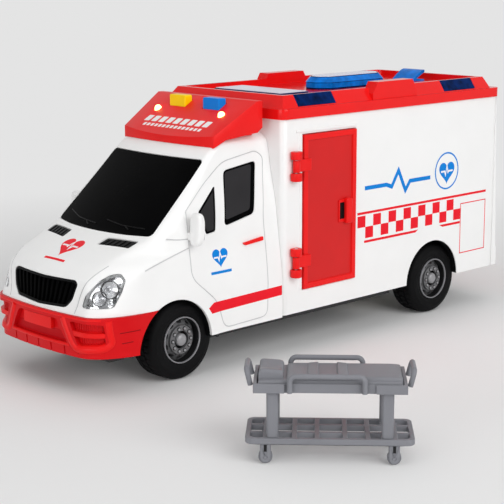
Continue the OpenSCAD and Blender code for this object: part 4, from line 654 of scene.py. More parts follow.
# Seams on the left half: the surface, the path and the radius of the groove
SEAMS = ((on_left, bend(CAB_DOOR, 4), 0.3),
         (on_left, bend([(82, 58.8), (96, 55.6), (107.5, 52.6)], 6), 0.34),
         (on_left, bend([(82, 62.6), (88, 63.0), (94, 64.2)], 6), 0.3),
         (on_front, bend([(23.3, 36), (24.6, 43), (27.2, 50), (30.4, 55.5)], 6), 0.36))


# Cab shell: the lofted skin, hollow, with real seams and seats for the glazing

def seat(outline, gap, surface, depth, step=1.2):
    """A cutter for the place of a piece on a surface, larger than the piece by a gap."""
    return patch("seat", grown(outline, gap), surface, -depth, 2, WHITE, step)


def arch_cutter():
    return prism("arch", circle(ARCH_X, ARCH_Z, ARCH_R, 96), "y", -THROUGH, THROUGH, WHITE)


CAB_WALL = 2.0
BUMPER_SEAM_Z = 35.3
LEVEL_SPANS = ((0, 0.36, 25), (0.36, 0.58, 45), (0.58, 0.88, 29), (0.88, 1, 25))
levels = [np.linspace(low, high, count, endpoint=False) for low, high, count in LEVEL_SPANS]
cab = loft("cab", np.concatenate(levels + [[1.0]]), 0.0, 91, 40, WHITE, swell=True)
seats = [seat(outline, 0.2, on_left, 0.7) for outline in (BIG_WINDOW, QUARTER)]
seats += [seat(VENT, 0.15, on_hood, 0.9, 0.8), seat(LAMP, 0.15, on_lamp, 2.9, 0.8)]
seats += [tube("seam", surface_line(surface, path), radius, WHITE, 6) for surface, path, radius in SEAMS]
carve(cab, [loft("cab_hollow", np.linspace(0, 0.995, 60), -CAB_WALL, 41, 10, WHITE, lower=3.0,
                 rear=CAB_REAR - CAB_WALL),
            arch_cutter(),
            block("bumper_room", (ARCH_X, -THROUGH, 0), (160, THROUGH, BUMPER_SEAM_Z), WHITE),
            seat(WINDSCREEN, 0.25, on_front, 0.7),
            seat(GRILLE, 0.2, on_front, 2.6)] + both_sides(seats))
shade(cab, 28)
keep(cab, ["cab_shell"])
# Grey beads sunk into the seams paint the shade of the grooves
seam_shade_lines = [bead(surface, path, radius * 0.8, radius * 0.76, SEAM_SHADE_GREY) for surface, path, radius in SEAMS]
keep(join("seam_shade_lines", both_sides(seam_shade_lines)))

# Windscreen with two wipers and their arms
glazing = [patch("windscreen_glass", WINDSCREEN, on_front, -0.65, -0.08, GLAZING)]
WIPERS = ((0.28, [(-27, 69.4), (-16, 67.6), (-2, 66.9)]), (0.28, [(3, 68.9), (14, 67.8), (27, 67.6)]),
          (0.34, [(-9.5, 67.1), (-6.5, 65.9)]), (0.34, [(16, 67.7), (19, 66.6)]))
for radius, points in WIPERS:
    glazing.append(tube("wiper", surface_line(on_front, points), radius, TRIM_BLACK, 6))
keep(join("windscreen_glazing", glazing), ["windscreen"])

# Side windows: a black border round a smoked field, lightened grey as a painted reflection
panes = [patch("pane", outline, on_left, -0.65, -0.1, GLAZING) for outline in (BIG_WINDOW, QUARTER)]
panes.append(patch("pane_field", BIG_FIELD, on_left, -0.3, -0.06, SMOKED_PANE_AND_REFLECTION))
panes.append(patch("pane_field", grown(QUARTER, -0.9), on_left, -0.3, -0.06, SMOKED_PANE_AND_REFLECTION, step=0.8))
keep(join("side_glazing", both_sides(panes)), ["cab_side_windows"])

# Grille: a dark tray with upright bars and a rim
GRILLE_BARS = 13
bars = [patch("grille_back", grown(GRILLE, -0.1), on_front, -2.5, -2.1, TRIM_BLACK),
        patch("grille_rim", GRILLE, on_front, -2.3, -0.25, TRIM_BLACK, 0.8, [grown(GRILLE, -0.9)])]
for i in range(GRILLE_BARS):
    share = (2 * i + 1) / GRILLE_BARS - 1
    foot, top = share * 17.6, share * 21.6
    strip = [(foot - 0.6, 37.5), (foot + 0.6, 37.5), (top + 0.68, 48.7), (top - 0.68, 48.7)]
    bars.append(patch("bar", rounded(strip, 0.3, 2), on_front, -2.3, -0.75, GLAZING, step=1.0))
keep(join("grille_bars", bars), ["grille"])

# Hood vents: a dark tray with slats
VENT_SLATS = 6
vents = [patch("vent_tray", VENT, on_hood, -0.85, -0.5, TRIM_BLACK, step=0.8)]
back_out, back_in, front_in, front_out = (np.array(p) for p in VENT_CORNERS)
for i in range(VENT_SLATS):
    strip = []
    for across, along in rect(0.22, 0.12, 0.72, 0.88):
        t = (i + across) / VENT_SLATS
        back, front = back_out * (1 - t) + back_in * t, front_out * (1 - t) + front_in * t
        strip.append(tuple(back * (1 - along) + front * along))
    vents.append(patch("slat", strip, on_hood, -0.6, -0.12, TRIM_BLACK, step=1.0))
keep(join("vent_grilles", both_sides(vents)), ["hood_vents"])

# Headlamps: a bright tray with shades, bowls, bulbs and ribs under a clear lens
LAMP_SHADES = ([(-60.6, 40.2), (-58.3, 45.2), (-57.2, 49.2), (-59.4, 48.4), (-61.0, 44.0)],
               [(-65.8, 49.9), (-62.6, 51.7), (-60.0, 52.0), (-61.0, 50.6), (-64.6, 48.6)],
               [(-73.4, 39.6), (-70.0, 39.6), (-71.2, 42.2), (-72.6, 43.0)])
lamps = [patch("lamp_tray", grown(LAMP, -0.05), on_lamp, -2.85, -2.4, CHROME, step=0.8)]
for outline in LAMP_SHADES:
    lamps.append(patch("lamp_shade", rounded(outline, 0.5, 3), on_lamp, -2.5, -1.9, DARK_CHROME, step=0.8))
for t, z, r in ((-62.4, 46.6, 3.7), (-66.8, 43.0, 3.0)):
    centre, out = (Vector(rows[0]) for rows in surface_frame(on_lamp, np.array([t]), np.array([z])))
    sideways = out.cross(Vector((0, 0, 1))).normalized()
    rise = sideways.cross(out)

    def bowl(radius, depth, angle, c=centre, o=out, h=sideways, v=rise):
        return tuple(c + h * (radius * math.cos(angle)) + v * (radius * math.sin(angle)) - o * depth)
    lamps += [
        lathe("lamp_bowl", [(r, 0.75), (r * 0.86, 1.0), (r * 0.62, 1.7), (r * 0.3, 2.3), (0.0, 2.42),
                            (0.0, 2.75), (r * 0.95, 2.75), (r * 1.06, 0.95)], 40, CHROME, bowl),
        lathe("bowl_rim", [(r * 1.08, 0.9), (r * 1.08, 0.7), (r * 0.98, 0.68), (r * 0.97, 0.95)], 40,
              DARK_CHROME, bowl),
        lathe("lamp_bulb", [(0.0, 0.9), (0.42, 1.0), (0.62, 1.4), (0.62, 2.4), (0.0, 2.4)], 16, CHROME, bowl)]
for t in (-59.4, -58.2, -57.0):
    foot = 40.6 + (t + 60) * 0.9
    strip = [(t - 0.32, foot), (t + 0.32, foot + 0.3), (t + 0.9, 45.6), (t + 0.26, 45.6)]
    lamps.append(patch("lamp_rib", strip, on_lamp, -2.5, -1.2, CHROME, step=0.8))
lenses = [patch("lamp_cover", LAMP, on_lamp, -0.75, -0.05, CLEAR, step=0.8)]
keep(join("lamp_reflectors", both_sides(lamps)), ["headlamp_reflectors"])
keep(join("lamp_covers", both_sides(lenses)), ["headlamp_lenses"])

# Bumper: the same skin stood out, with a sunk middle, a scoop on each side, struts, slats and a ribbed foot
MIDDLE = rounded([(-13.4, 32.6), (-20.0, 22.6), (20.0, 22.6), (13.4, 32.6)], 1.4)
MIDDLE_FLOOR = rounded([(-19.0, 23.2), (19.0, 23.2), (16.4, 27.2), (-16.4, 27.2)], 0.8)
PLATE = rounded(rect(-9.8, 27.4, 9.8, 32.4), 0.5)
SCOOP = rounded([(21.6, 32.9), (36.9, 32.5), (36.4, 22.9), (26.4, 21.6)], 1.6)
SCOOP_SLAT = rounded([(23.4, 26.8), (37.2, 26.7), (37.2, 28.6), (22.6, 28.9)], 0.6)
STRUT = bend([(17.4, 33.6), (22.6, 22.8), (25.4, 20.8), (35.6, 21.3), (37.9, 23.8), (37.7, 34.0)], 2.4)
LOW_GROOVE = bend([(25.4, 19.6), (31.0, 20.2), (36.4, 21.0)], 3)
SCOOP_DEPTH = 2.2
RIB_PITCH = 8.8
# The bumper skin is drawn in the darker red, painted shade of its less lit faces
bumper = loft("bumper", np.linspace(-1.12 / CAB_H, 16.6 / CAB_H, 24), BUMPER_OUT, 121, 40, SHADED_BUMPER_RED)
scoops = []
for sign in (1, -1):
    groove = surface_line(on_bumper, to_side(LOW_GROOVE, sign))
    scoops += [patch("scoop", to_side(SCOOP, sign), on_bumper, -SCOOP_DEPTH, 2, SHADED_BUMPER_RED, step=0.8),
               tube("low_groove", groove, 0.55, SHADED_BUMPER_RED, 6)]
ribs = [patch("groove", rect(k * RIB_PITCH - 0.4, 17.0, k * RIB_PITCH + 0.4, 21.4), on_bumper, -0.6, 2,
              SHADED_BUMPER_RED, step=0.9) for k in range(-2, 3)]
carve(bumper, [loft("bumper_inner", np.linspace(-0.04, 0.215, 12), -2.2, 61, 10, RED,
                    rear=CAB_REAR - CAB_WALL),
               block("rear_room", (0, -THROUGH, 0), (ARCH_X + 2, THROUGH, 60), RED),
               arch_cutter(),
               patch("sunk", MIDDLE, on_bumper, -SCOOP_DEPTH, 2, SHADED_BUMPER_RED, step=0.8)]
      + scoops + ribs)
shade(bumper, 30)
# The floor of the sunk middle is a darker red: painted shade in the recess
trim = [patch("number_plate", PLATE, on_bumper, -2.4, -0.15, RED, step=1.0),
        patch("middle_floor_shade", MIDDLE_FLOOR, on_bumper, -2.4, -2.05, RECESS_SHADE_RED, step=1.0),
        # The beads in the brighter red are painted highlights along the bumper's ridges
        bead(on_bumper, bend([(-20.6, 22.1), (0, 22.0), (20.6, 22.1)], 2), 0.8, 0.55, RED),
        bead(on_bumper, [(-36, 34.3), (0, 34.3), (36, 34.3)], 0.7, 0.5, RED)]
for sign in (1, -1):
    trim.append(bead(on_bumper, to_side(STRUT, sign), 2.2, 1.5, RED))
    # Two thin dark red lines on each side paint the shade under the bumper's steps
    for z, near_y, far_y in ((28.3, 39.4, 41.5), (23.7, 39.4, 40.8)):
        ledge = to_side([(near_y, z), (far_y, z + 0.3)], sign)
        trim.append(bead(on_bumper, ledge, 0.42, 0.34, LEDGE_SHADE_RED, 0.15))
    trim.append(patch("slat", to_side(SCOOP_SLAT, sign), on_bumper, -2.3, -0.1, RED, step=0.8))
    for foot, top, first in ((23.0, 26.5, 2), (29.2, 32.0, 0)):
        for k in range(first, 10):
            y = 23.6 + 1.35 * k
            screen_bar = to_side(rect(y, foot, y + 0.5, top), sign)
            trim.append(patch("screen_bar", screen_bar, on_bumper, -2.4, -1.9, SHADED_BUMPER_RED))
keep(join("bumper_skin", [bumper] + trim), ["front_bumper"])

# Roof cap: flat faces with soft edges, seated on the cab roof
CAP_REAR, CAP_CREST, CAP_FRONT = 33.75, 36.85, 63.4
CAP_TOP_Z, CAP_BROW_Z = 118.7, 102.87
CAP_HALF_W, CAP_BROW_HALF_W = 34.2, 31.0
BUTTON_Y, ROOF_LAMP_Y = 11.55, 21.89
cap_side = [(54.0, 102.4), (36.6, 104.6), (CAP_REAR, 106.6), (CAP_REAR, CAP_TOP_Z), (CAP_CREST, CAP_TOP_Z),
            (CAP_FRONT, CAP_BROW_Z), (CAP_FRONT, 97.9)]
cap = prism("cap", cap_side, "y", -50, 50, RED)
cap_plan = [(20.0, -CAP_HALF_W), (37.0, -CAP_HALF_W)]
cap_plan += [(CAP_FRONT - 2.8 * (i / 12) ** 2, CAP_BROW_HALF_W * i / 12) for i in range(-12, 13)]
cap_plan += [(37.0, CAP_HALF_W), (20.0, CAP_HALF_W)]
carve(cap, [prism("cap_plan", cap_plan, "z", 90, 130, RED)], "INTERSECT")
soften(cap, 2.2, 5, 20)
settle(cap)
carve(cap, [block("cap_foot", (CAP_REAR + 0.8, -28.0, 100.6), (54.0, 28.0, 104.9), RED)], "UNION")
cap_cuts = [loft("cap_seat", np.linspace(0.85, 1.0, 40), 0.12, 61, 20, RED, rear=CAB_REAR - 5)]
cap_cuts += both_sides([
    block("button_hole", (39.7, BUTTON_Y - 5.8, 109.2), (44.94, BUTTON_Y + 5.8, 130), RED),
    prism("lamp_hole", circle(47.5, ROOF_LAMP_Y, 1.75, 24), "z", 107, 130, RED)])
carve(cap, cap_cuts)
shade(cap, 25)
keep(cap, ["roof_cap"])


# Door mirrors: rounded ears on short arms

MIRROR_X, MIRROR_Y, MIRROR_Z = 81.0, 41.9, 67.2
EAR_L, EAR_W, EAR_H = 2.15, 3.4, 7.2


def ear_point(latitude, angle):
    """A point of a rounded box that leans out at its top and bows back at its middle."""
    girth = signed_power(math.cos(latitude), 0.5)
    rise = signed_power(math.sin(latitude), 0.62)
    x = EAR_L * girth * signed_power(math.cos(angle), 0.6) - 0.5 * (1 - rise ** 2)
    y = EAR_W * girth * signed_power(math.sin(angle), 0.6) + 0.4 * rise
    return (MIRROR_X + x, MIRROR_Y + y, MIRROR_Z + EAR_H * rise)


MIRROR_GLASS = rounded([(39.6, 62.0), (44.2, 62.0), (44.4, 72.2), (39.8, 72.2)], 1.6)
ear_rings = [[ear_point(v, a) for a in angles(32)] for v in np.linspace(-math.pi / 2, math.pi / 2, 25)]
ears = [fuse(skin("mirror_ear", ear_rings, WHITE), 60),
        block("mirror_arm", (MIRROR_X - 1, 36.2, 62.0), (MIRROR_X + 1.4, 40.6, 65.4), WHITE, 0.6),
        prism("mirror_glass", MIRROR_GLASS, "x", MIRROR_X - 2.55, MIRROR_X - 2.2, CHROME)]
keep(join("mirror_ears", both_sides(ears)), ["door_mirrors"])


# Wheels: profiles as pairs of radius and depth behind the wheel's face

TYRE_WALL = [(10.5, 1.4), (10.55, 0.6), (11.2, 0.25), (12.4, 0.12), (12.5, 0.02), (15.0, 0.1), (15.1, 0.22),
             (16.4, 0.6), (17.25, 1.3), (17.7, 2.2)]
TREAD = [(TYRE_R, 3.2), (TYRE_R, 5.2), (17.4, 5.35), (17.4, 5.95), (TYRE_R, 6.1), (TYRE_R, 8.9), (17.4, 9.05),
         (17.4, 9.65), (TYRE_R, 9.8), (TYRE_R, 11.8)]
TYRE_PROFILE = TYRE_WALL + TREAD + [(r, TYRE_W - d) for r, d in TYRE_WALL[::-1]]
TREAD_STEPS, NOTCH_EVERY, NOTCH_DEPTH = 180, 5, 0.55
WEB = [(9.75, 4.2), (9.4, 4.0), (7.05, 1.65), (6.9, 2.3), (4.2, 2.3), (4.2, 3.2), (0.0, 3.2), (0.0, 7.0),
       (5.0, 7.0), (5.4, 5.4), (9.7, 5.4)]
# The barrel's near-black wall, the black back disc seen through the holes and the black well round the hub
# cap are painted shade
RIM_PARTS = (
    ("barrel", 80, RECESS_SHADE_BLACK, [(9.95, 0.5), (9.8, 2.2), (9.6, 4.3), (9.6, 4.9), (10.0, 13.6), (10.4, 13.6),
                              (10.4, 0.7)]),
    ("back", 48, TRIM_BLACK, [(9.7, 6.4), (0.0, 6.4), (0.0, 7.2), (9.7, 7.2)]),
    ("ring", 80, RIM_RING, [(9.85, 0.8), (9.8, 0.3), (9.95, 0.05), (10.3, 0.05), (10.45, 0.3), (10.42, 0.8)]),
    ("flange", 60, RIM_HUB, [(6.5, 2.4), (6.52, 1.1), (6.3, 0.85), (4.15, 0.8), (4.0, 1.0), (4.0, 2.4)]),
    ("well", 48, TRIM_BLACK, [(4.05, 1.9), (3.95, 3.1), (0.0, 3.1), (0.0, 3.25), (4.1, 3.25)]),
    ("hub_cap", 48, RIM_CAP, [(2.85, 3.15), (2.8, 1.2), (2.65, 0.75), (2.2, 0.35), (1.3, 0.1), (0.6, 0.03),
                              (0, 0.02), (0, 3.15)]))
NUT_SEAT = [(0.95, 0.9), (0.95, 0.77), (0, 0.77), (0, 0.9)]
NUT = [(0.66, 0.9), (0.64, 0.4), (0.5, 0.3), (0.0, 0.27), (0.0, 0.9)]
NUTS, NUT_CIRCLE, HOLE_CIRCLE = 10, 5.15, 8.05


def wheel(name, x, side, body):
    """A notched tyre, and a rim with holes in its web and nuts on its flange."""
    def place(r, d, angle, cx=0.0, cz=0.0):
        return (x + cx + r * math.cos(angle), side * (WHEEL_FACE - d), AXLE_Z + cz + r * math.sin(angle))

    rings = []
    for k, angle in enumerate(angles(TREAD_STEPS)):
        ring = []
        for r, d in TYRE_PROFILE:
            phase = 2 if abs(d - TYRE_W / 2) < 2 else 0
            notch = NOTCH_DEPTH if r == TYRE_R and k % NOTCH_EVERY == phase else 0.0
            ring.append(place(r - notch, d, angle))
        rings.append(ring)
    keep(skin(name + "_tyre", rings, TYRE, 40, loop=True), [name + "_tyre"], body)
    rim = lathe("web", WEB, 80, RIM_HUB, place)
    low, high = sorted((side * (WHEEL_FACE + 1), side * (WHEEL_FACE - 6.2)))
    holes = []
    for middle in angles(NUTS):
        outline = []
        for t in angles(20):
            r = HOLE_CIRCLE + 0.72 * signed_power(math.cos(t), 0.7)
            a = middle + math.pi / NUTS + 1.35 * signed_power(math.sin(t), 0.7) / HOLE_CIRCLE
            outline.append((x + r * math.cos(a), AXLE_Z + r * math.sin(a)))
        holes.append(prism("hole", outline, "y", low, high, RIM_HUB))
    carve(rim, holes)
    shade(rim, 30)
    parts = [rim]
    for part, steps, material, profile in RIM_PARTS:
        parts.append(lathe(part, profile, steps, material, place))
    for cx, cz in circle(0, 0, NUT_CIRCLE, NUTS):
        nut_place = partial(place, cx=cx, cz=cz)
        parts.append(lathe("nut_seat", NUT_SEAT, 18, TRIM_BLACK, nut_place))
        parts.append(lathe("nut", NUT, 6, RIM_CAP, nut_place))
    keep(join(name + "_hub", parts), [name + "_rim"], body)


for end, axle_x in (("front", FRONT_AXLE), ("rear", REAR_AXLE)):
    for hand, side in (("left", 1), ("right", -1)):
        wheel(end + "_" + hand, axle_x, side, end + "_wheels")

# Dark linings in the wheel arches
LINING_R, LINING_T = ARCH_R - 0.02, 0.12
linings = []
lining_angles = np.radians(np.linspace(1, 179, 61))
for x, z, outer_y in ((ARCH_X, ARCH_Z, 40.2), (REAR_ARCH_X, REAR_ARCH_Z, 40.5)):
    outline = arc(x, z, LINING_R, lining_angles) + arc(x, z, LINING_R - LINING_T, lining_angles[::-1])
    linings.append(prism("lining", outline, "y", WHEEL_FACE + 0.3, outer_y, TRIM_BLACK))
keep(join("arch_linings", both_sides(linings)))


# Livery: thin printed shapes on the walls

PRINT = (-0.1, 0.05)


def heart(cx, cz, size):
    def height(t):
        return (13 * math.cos(t) - 5 * math.cos(2 * t) - 2 * math.cos(3 * t) - math.cos(4 * t)) / 16
    return [(cx + size * math.sin(t) ** 3, cz + size * height(t)) for t in angles(64)]


def pulse(x0, x1, z, height, width):
    """A heartbeat trace as one outline of an even width."""
    shares = [(0, 0), (.32, 0), (.4, -.22), (.5, 1), (.61, -.7), (.68, 0), (1, 0)]
    path = np.array([(x0 + (x1 - x0) * a, z + height * b) for a, b in shares])
    steps = np.diff(path, axis=0)
    steps /= np.linalg.norm(steps, axis=1)[:, None]
    sides = np.stack([-steps[:, 1], steps[:, 0]], axis=1)
    left, right = [], []
    for i, p in enumerate(path):
        a, b = sides[max(i - 1, 0)], sides[min(i, len(sides) - 1)]
        m = (a + b) / np.linalg.norm(a + b)
        reach = m * width / 2 / max(m @ a, 0.42)
        left.append(tuple(p + reach))
        right.append(tuple(p - reach))
    return left + right[::-1]


CHECK_FRONT, CHECK_REAR, CHECKS = -23.6, -103.7, 14
CHECK_FOOT, CHECK_MIDDLE, CHECK_TOP = 48.0, 53.6, 59.2
FIELD_FRONT, FIELD_REAR, FIELD_FOOT, FIELD_TOP, FIELD_LINE = -103.8, -125.2, 29.5, 56.2, 0.5
RING_X, RING_Z = -91.7, 74.6


def on_wall(x, z):
    """The left wall of the box over x and z."""
    return np.stack([x, np.full(x.shape, BOX_HALF_W), z], axis=1)


def wall_print(outline, material, lift=0.05):
    return prism("print", outline, "y", BOX_HALF_W - 0.05, BOX_HALF_W + lift, material)


on_wall.out = (0, 1, 0)
red_shapes = [rect(-23.4, 59.9, -125.3, 61.1)]
for i in range(CHECKS):
    x0, x1 = (CHECK_FRONT + (CHECK_REAR - CHECK_FRONT) * k / CHECKS for k in (i, i + 1))
    z0, z1 = (CHECK_MIDDLE, CHECK_TOP) if i % 2 == 0 else (CHECK_FOOT, CHECK_MIDDLE)
    red_shapes.append(rect(x0, z0, x1, z1))
red_shapes += [[(-28.6, 45.7), (-67.4, 45.7), (-69.6, 46.9), (-28.6, 46.9)],
               [(-89.2, 45.7), (-103.6, 45.7), (-103.6, 46.9), (-86.6, 46.9)],
               rect(FIELD_FRONT, FIELD_FOOT, FIELD_FRONT - FIELD_LINE, FIELD_TOP),
               rect(FIELD_REAR + FIELD_LINE, FIELD_FOOT, FIELD_REAR, FIELD_TOP),
               rect(FIELD_FRONT, FIELD_TOP - FIELD_LINE, FIELD_REAR, FIELD_TOP),
               rect(FIELD_FRONT, FIELD_FOOT, FIELD_REAR, FIELD_FOOT + FIELD_LINE)]
reds = [wall_print(shape, DECAL_RED) for shape in red_shapes]
outer, inner = (circle(RING_X, RING_Z, r, 64) for r in (9.6, 8.8))
blues = [patch("ring", outer, on_wall, -0.05, 0.05, DECAL_BLUE, 1.5, [inner]),
         wall_print(heart(RING_X, RING_Z - 0.3, 6.2), DECAL_BLUE),
         wall_print(pulse(-96.4, -87.0, 74.4, 2.8, 0.9), DECAL_WHITE, 0.08),
         wall_print(pulse(-28.6, -78.4, 72.6, 6.2, 2.0), DECAL_BLUE)]
liveries = {"red": both_sides(reds), "blue": both_sides(blues)}
for half, hand in enumerate(("left", "right")):
    for color, prints in liveries.items():
        count = len(prints) // 2
        keep(join("livery_%s_%s" % (color, hand), prints[half * count:][:count]))

# Livery on the cab: a stripe and a heart with a bar on each door, and a heart with a bar on the hood
HOOD_HEART_X = 117.0
SILL_STRIPE = [(27.9, 29.4), (71.9, 28.3), (73.9, 31.0), (70.4, 33.0), (27.9, 33.9)]


def across_hood(outline):
    return [(HOOD_HEART_X - up, across) for across, up in outline]


DOOR_TRACE = pulse(61.0, 68.4, 52.4, 2.0, 0.7)
door_heart = [heart(64.7, 52.6, 4.6), rect(58.6, 45.2, 70.8, 46.4)]
cab_prints = [patch("print", SILL_STRIPE, on_left, *PRINT, DECAL_RED)]
cab_prints += [patch("print", outline, on_left, *PRINT, DECAL_BLUE) for outline in door_heart]
cab_prints.append(patch("print", DOOR_TRACE, on_left, -0.05, 0.09, DECAL_WHITE, step=0.8))
cab_prints = both_sides(cab_prints)
for outline in (heart(0, 0, 6.4), rect(-7, -9.2, 7, -8.2)):
    cab_prints.append(patch("print", across_hood(outline), on_hood, -0.1, 0.06, DECAL_RED, step=0.9))
hood_trace = across_hood(pulse(-5.2, 5.2, 0.0, 2.8, 0.9))
cab_prints.append(patch("print", hood_trace, on_hood, -0.05, 0.1, DECAL_WHITE, step=0.8))
keep(join("cab_livery", cab_prints))


# Two rows of slanted white dashes on the cap

def on_cap(y, x):
    slope = (CAP_BROW_Z - CAP_TOP_Z) / (CAP_FRONT - CAP_CREST)
    return np.stack([x, y, CAP_TOP_Z + (x - CAP_CREST) * slope], axis=1)


on_cap.out = (0.5, 0, 1)
dashes = []
for count, first, pitch, width, slant, foot, top in ((9, -22.4, 5.0, 3.5, 0.4, 55.9, 52.3),
                                                     (15, -20.2, 2.7, 1.7, 0.2, 58.8, 57.1)):
    for i in range(count):
        y = first + pitch * i
        dash = [(y, foot), (y + width, foot), (y + width + slant, top), (y + slant, top)]
        dashes.append(patch("dash", rounded(dash, slant, 2), on_cap, *PRINT, DECAL_WHITE, step=1.0))
keep(join("cap_dashes", dashes))

# Red handles on the cab doors
DOOR_GRIP = rounded([(50.8, 56.6), (38.2, 58.0), (38.2, 56.2), (49.4, 55.4)], 0.5, 3)
keep(join("cab_door_grips", both_sides([patch("door_grip", DOOR_GRIP, on_left, -0.2, 0.9, RED, step=0.8)])))

# Side door: a duller field inside the bright border, a slim grip beside a black block that paints the shade
# of its slot
keep(block("side_door_field", (-18.75, 41.1, 32.55), (11.75, 41.24, 99.55), DOOR_RED), body="side_door_body")
grip = [block("grip", (-17.3, 41.2, 57.6), (-13.1, 43.8, 69.9), RED, 0.9, 3),
        block("grip_foot", (-13.6, 41.2, 58.4), (-9.5, 41.75, 69.2), RED, 0.25),
        # The black block paints the shade in the slot beside the grip
        block("grip_slot_shade", (-13.3, 41.5, 60.0), (-10.2, 41.82, 67.9), TRIM_BLACK)]
keep(join("side_door_grip", grip), ["side_door_handle"], "side_door_body")
door_frame = [block("door_post", (15.15, 40.9, 29.6), (16.8, 41.22, 103.4), WHITE, 0.08),
              block("door_gutter", (-22.0, 40.9, 103.5), (19.2, 41.55, 104.7), WHITE, 0.2)]
keep(join("side_door_frame", door_frame))


# Stretcher: a thin bed with a padded top, belts and a dished pillow

STRETCHER_X, STRETCHER_Y, STRETCHER_TURN = 109.0, 146.3, math.radians(133.4)
BED_Z = 29.5


def on_stretcher(u, v, z):
    """From the stretcher's own length, width and height to the scene."""
    c, s = math.cos(STRETCHER_TURN), math.sin(STRETCHER_TURN)
    return (STRETCHER_X + u * c - v * s, STRETCHER_Y + u * s + v * c, z)


def pad(name, u, half_w, foot, height, power, steps=28):
    """A padded block over a rectangle; height gives the top over shares of the length and the width."""
    verts, faces = [], []
    middle, half_l = (u[0] + u[1]) / 2, (u[1] - u[0]) / 2
    shares = np.sin(np.linspace(-math.pi / 2, math.pi / 2, steps + 1))
    for a in shares:
        for b in shares:
            fall = (1 - abs(a) ** power) ** (1 / power) * (1 - abs(b) ** power) ** (1 / power)
            verts.append(on_stretcher(middle + a * half_l, b * half_w, foot + height(a, b) * fall))
    row = steps + 1
    for i in range(steps):
        for k in range(steps):
            faces.append((i * row + k, (i + 1) * row + k, (i + 1) * row + k + 1, i * row + k + 1))
    rim = [*range(row), *(i * row + steps for i in range(1, row)),
           *(steps * row + k for k in range(steps - 1, -1, -1)), *(i * row for i in range(steps - 1, 0, -1))]
    return build(name, verts, faces + [rim], GREY, 60)


bed = [pad("slab", (-26.2, 26.2), 10.7, BED_Z, lambda a, b: 2.0, 14),
       pad("mattress", (-16.0, 26.4), 9.7, BED_Z, lambda a, b: 3.2, 12),
       pad("belt", (-8.4, -4.2), 9.3, BED_Z + 1.5, lambda a, b: 2.15 + 0.25 * a, 8),
       pad("belt", (2.6, 6.6), 9.3, BED_Z + 1.5, lambda a, b: 2.15 - 0.25 * a, 8),
       pad("pillow", (-26.2, -17.0), 7.8, BED_Z, lambda a, b: 4.3 + 1.5 * b * b - 0.35 * a, 7)]
keep(join("stretcher_bed", bed), ["stretcher_mattress"], "stretcher")

# Dark slots in the forks of the casters: thin dark sheets that paint the shade in the fork gaps
FORK_U, FORK_V = 23.5, 12.22
fork_shade_slots = []
for u, v in rect(-FORK_U, -FORK_V, FORK_U, FORK_V):
    corners = [on_stretcher(u + du, v + dv, 0)[:2] for du, dv in rect(-0.55, -0.05, 0.55, 0.05)]
    fork_shade_slots.append(prism("fork_shade_slot", corners, "z", 4.9, 8.7, RECESS_SHADE_BLACK))
keep(join("fork_shade_slots", fork_shade_slots), body="stretcher")

# Roof light bar: hipped, in layers given as height and inset of the foot, then of the top
BAR_X, BAR_HALF_L, BAR_HALF_W, BAR_CUT = -58.6, 25.2, 8.8, 5.6
BAR_LAYERS = ((NAVY_LENS, (DECK_Z, 0.2), (118.2, 0.2)), (BLUE_LENS, (118.1, 0.0), (120.5, 0.0)),
              (NAVY_LENS, (120.4, 0.25), (120.9, 0.25)), (BLUE_LENS, (120.8, 0.0), (123.2, 2.0)),
              # The pale top layer of the bar is a painted reflection on the blue lens
              (NAVY_LENS, (123.1, 2.1), (123.5, 2.4)), (PAINTED_REFLECTION_PALE, (123.3, 2.8), (123.8, 3.2)))
bar = []
for material, *ends in BAR_LAYERS:
    rings = [(z, octagon(BAR_X, BAR_HALF_L - inset, BAR_HALF_W - inset, BAR_CUT - inset / 2))
             for z, inset in ends]
    bar.append(stack("bar_layer", rings, material))
keep(join("light_bar_lens", bar), ["roof_light_bar"])

# Roof front panel: a low dark frame with a pale top that is a painted reflection, in rings of height, inset,
# chamfer and corner radius
PANEL_X, PANEL_HALF_L, PANEL_HALF_W = 1.4, 10.0, 23.0
PANEL_LAYERS = ((NAVY_LENS, (DECK_Z, 0, 0.9, 0.3), (119.2, 0, 0.9, 0.3), (119.5, 0.4, 0.8, 0.3)),
                (PAINTED_REFLECTION_PALE, (119.3, 0.7, 0.7, 0.3), (119.7, 0.8, 0.6, 0.2)))
panel = []
for material, *layer in PANEL_LAYERS:
    rings = [(z, octagon(PANEL_X, PANEL_HALF_L - inset, PANEL_HALF_W - inset, chamfer, radius))
             for z, inset, chamfer, radius in layer]
    panel.append(stack("panel_layer", rings, material))
keep(join("front_panel_lens", panel), ["roof_front_panel"])

# Finishes and edge radii of the solids that stay
CASTERS = ["caster_wheel_%d" % i for i in range(1, 5)]
STRETCHER_FRAME = ["stretcher_legs", "stretcher_base"] + CASTERS
FINISHES = (
    (CHASSIS_BLACK, ["chassis", "battery_cover", "speaker", "box_floor"]),
    (STEEL, ["chassis_screws", "front_axle", "rear_axle", "flywheel", "side_hinge_pins", "rear_hinge_pins"]),
    (GREY, ["stretcher_tray", "stretcher_rails", "caster_pins"] + STRETCHER_FRAME),
    (GEAR, ["gearbox_case", "drive_gear", "idler_gear"]), (BOARD, ["sound_board", "button_board"]),
    (RED, ["side_door", "side_hinge_brackets"]), (DOOR_RED, ["rear_door_left", "rear_door_right"]),
    (CELL, ["battery_cells"]), (TRIM_BLACK, ["power_switch"]), (YELLOW, ["yellow_button"]),
    (BUTTON_BLUE, ["blue_button"]), (LAMP_ORANGE, ["warning_lamps"]), (WHITE, ["box_shell"]),
    (ROOF_RED, ["box_roof"]), (NAVY_LENS, ["curb_lenses"]), (BLUE_LENS, ["roof_visor"]),
    (TAIL_RED, ["tail_lamps"]))
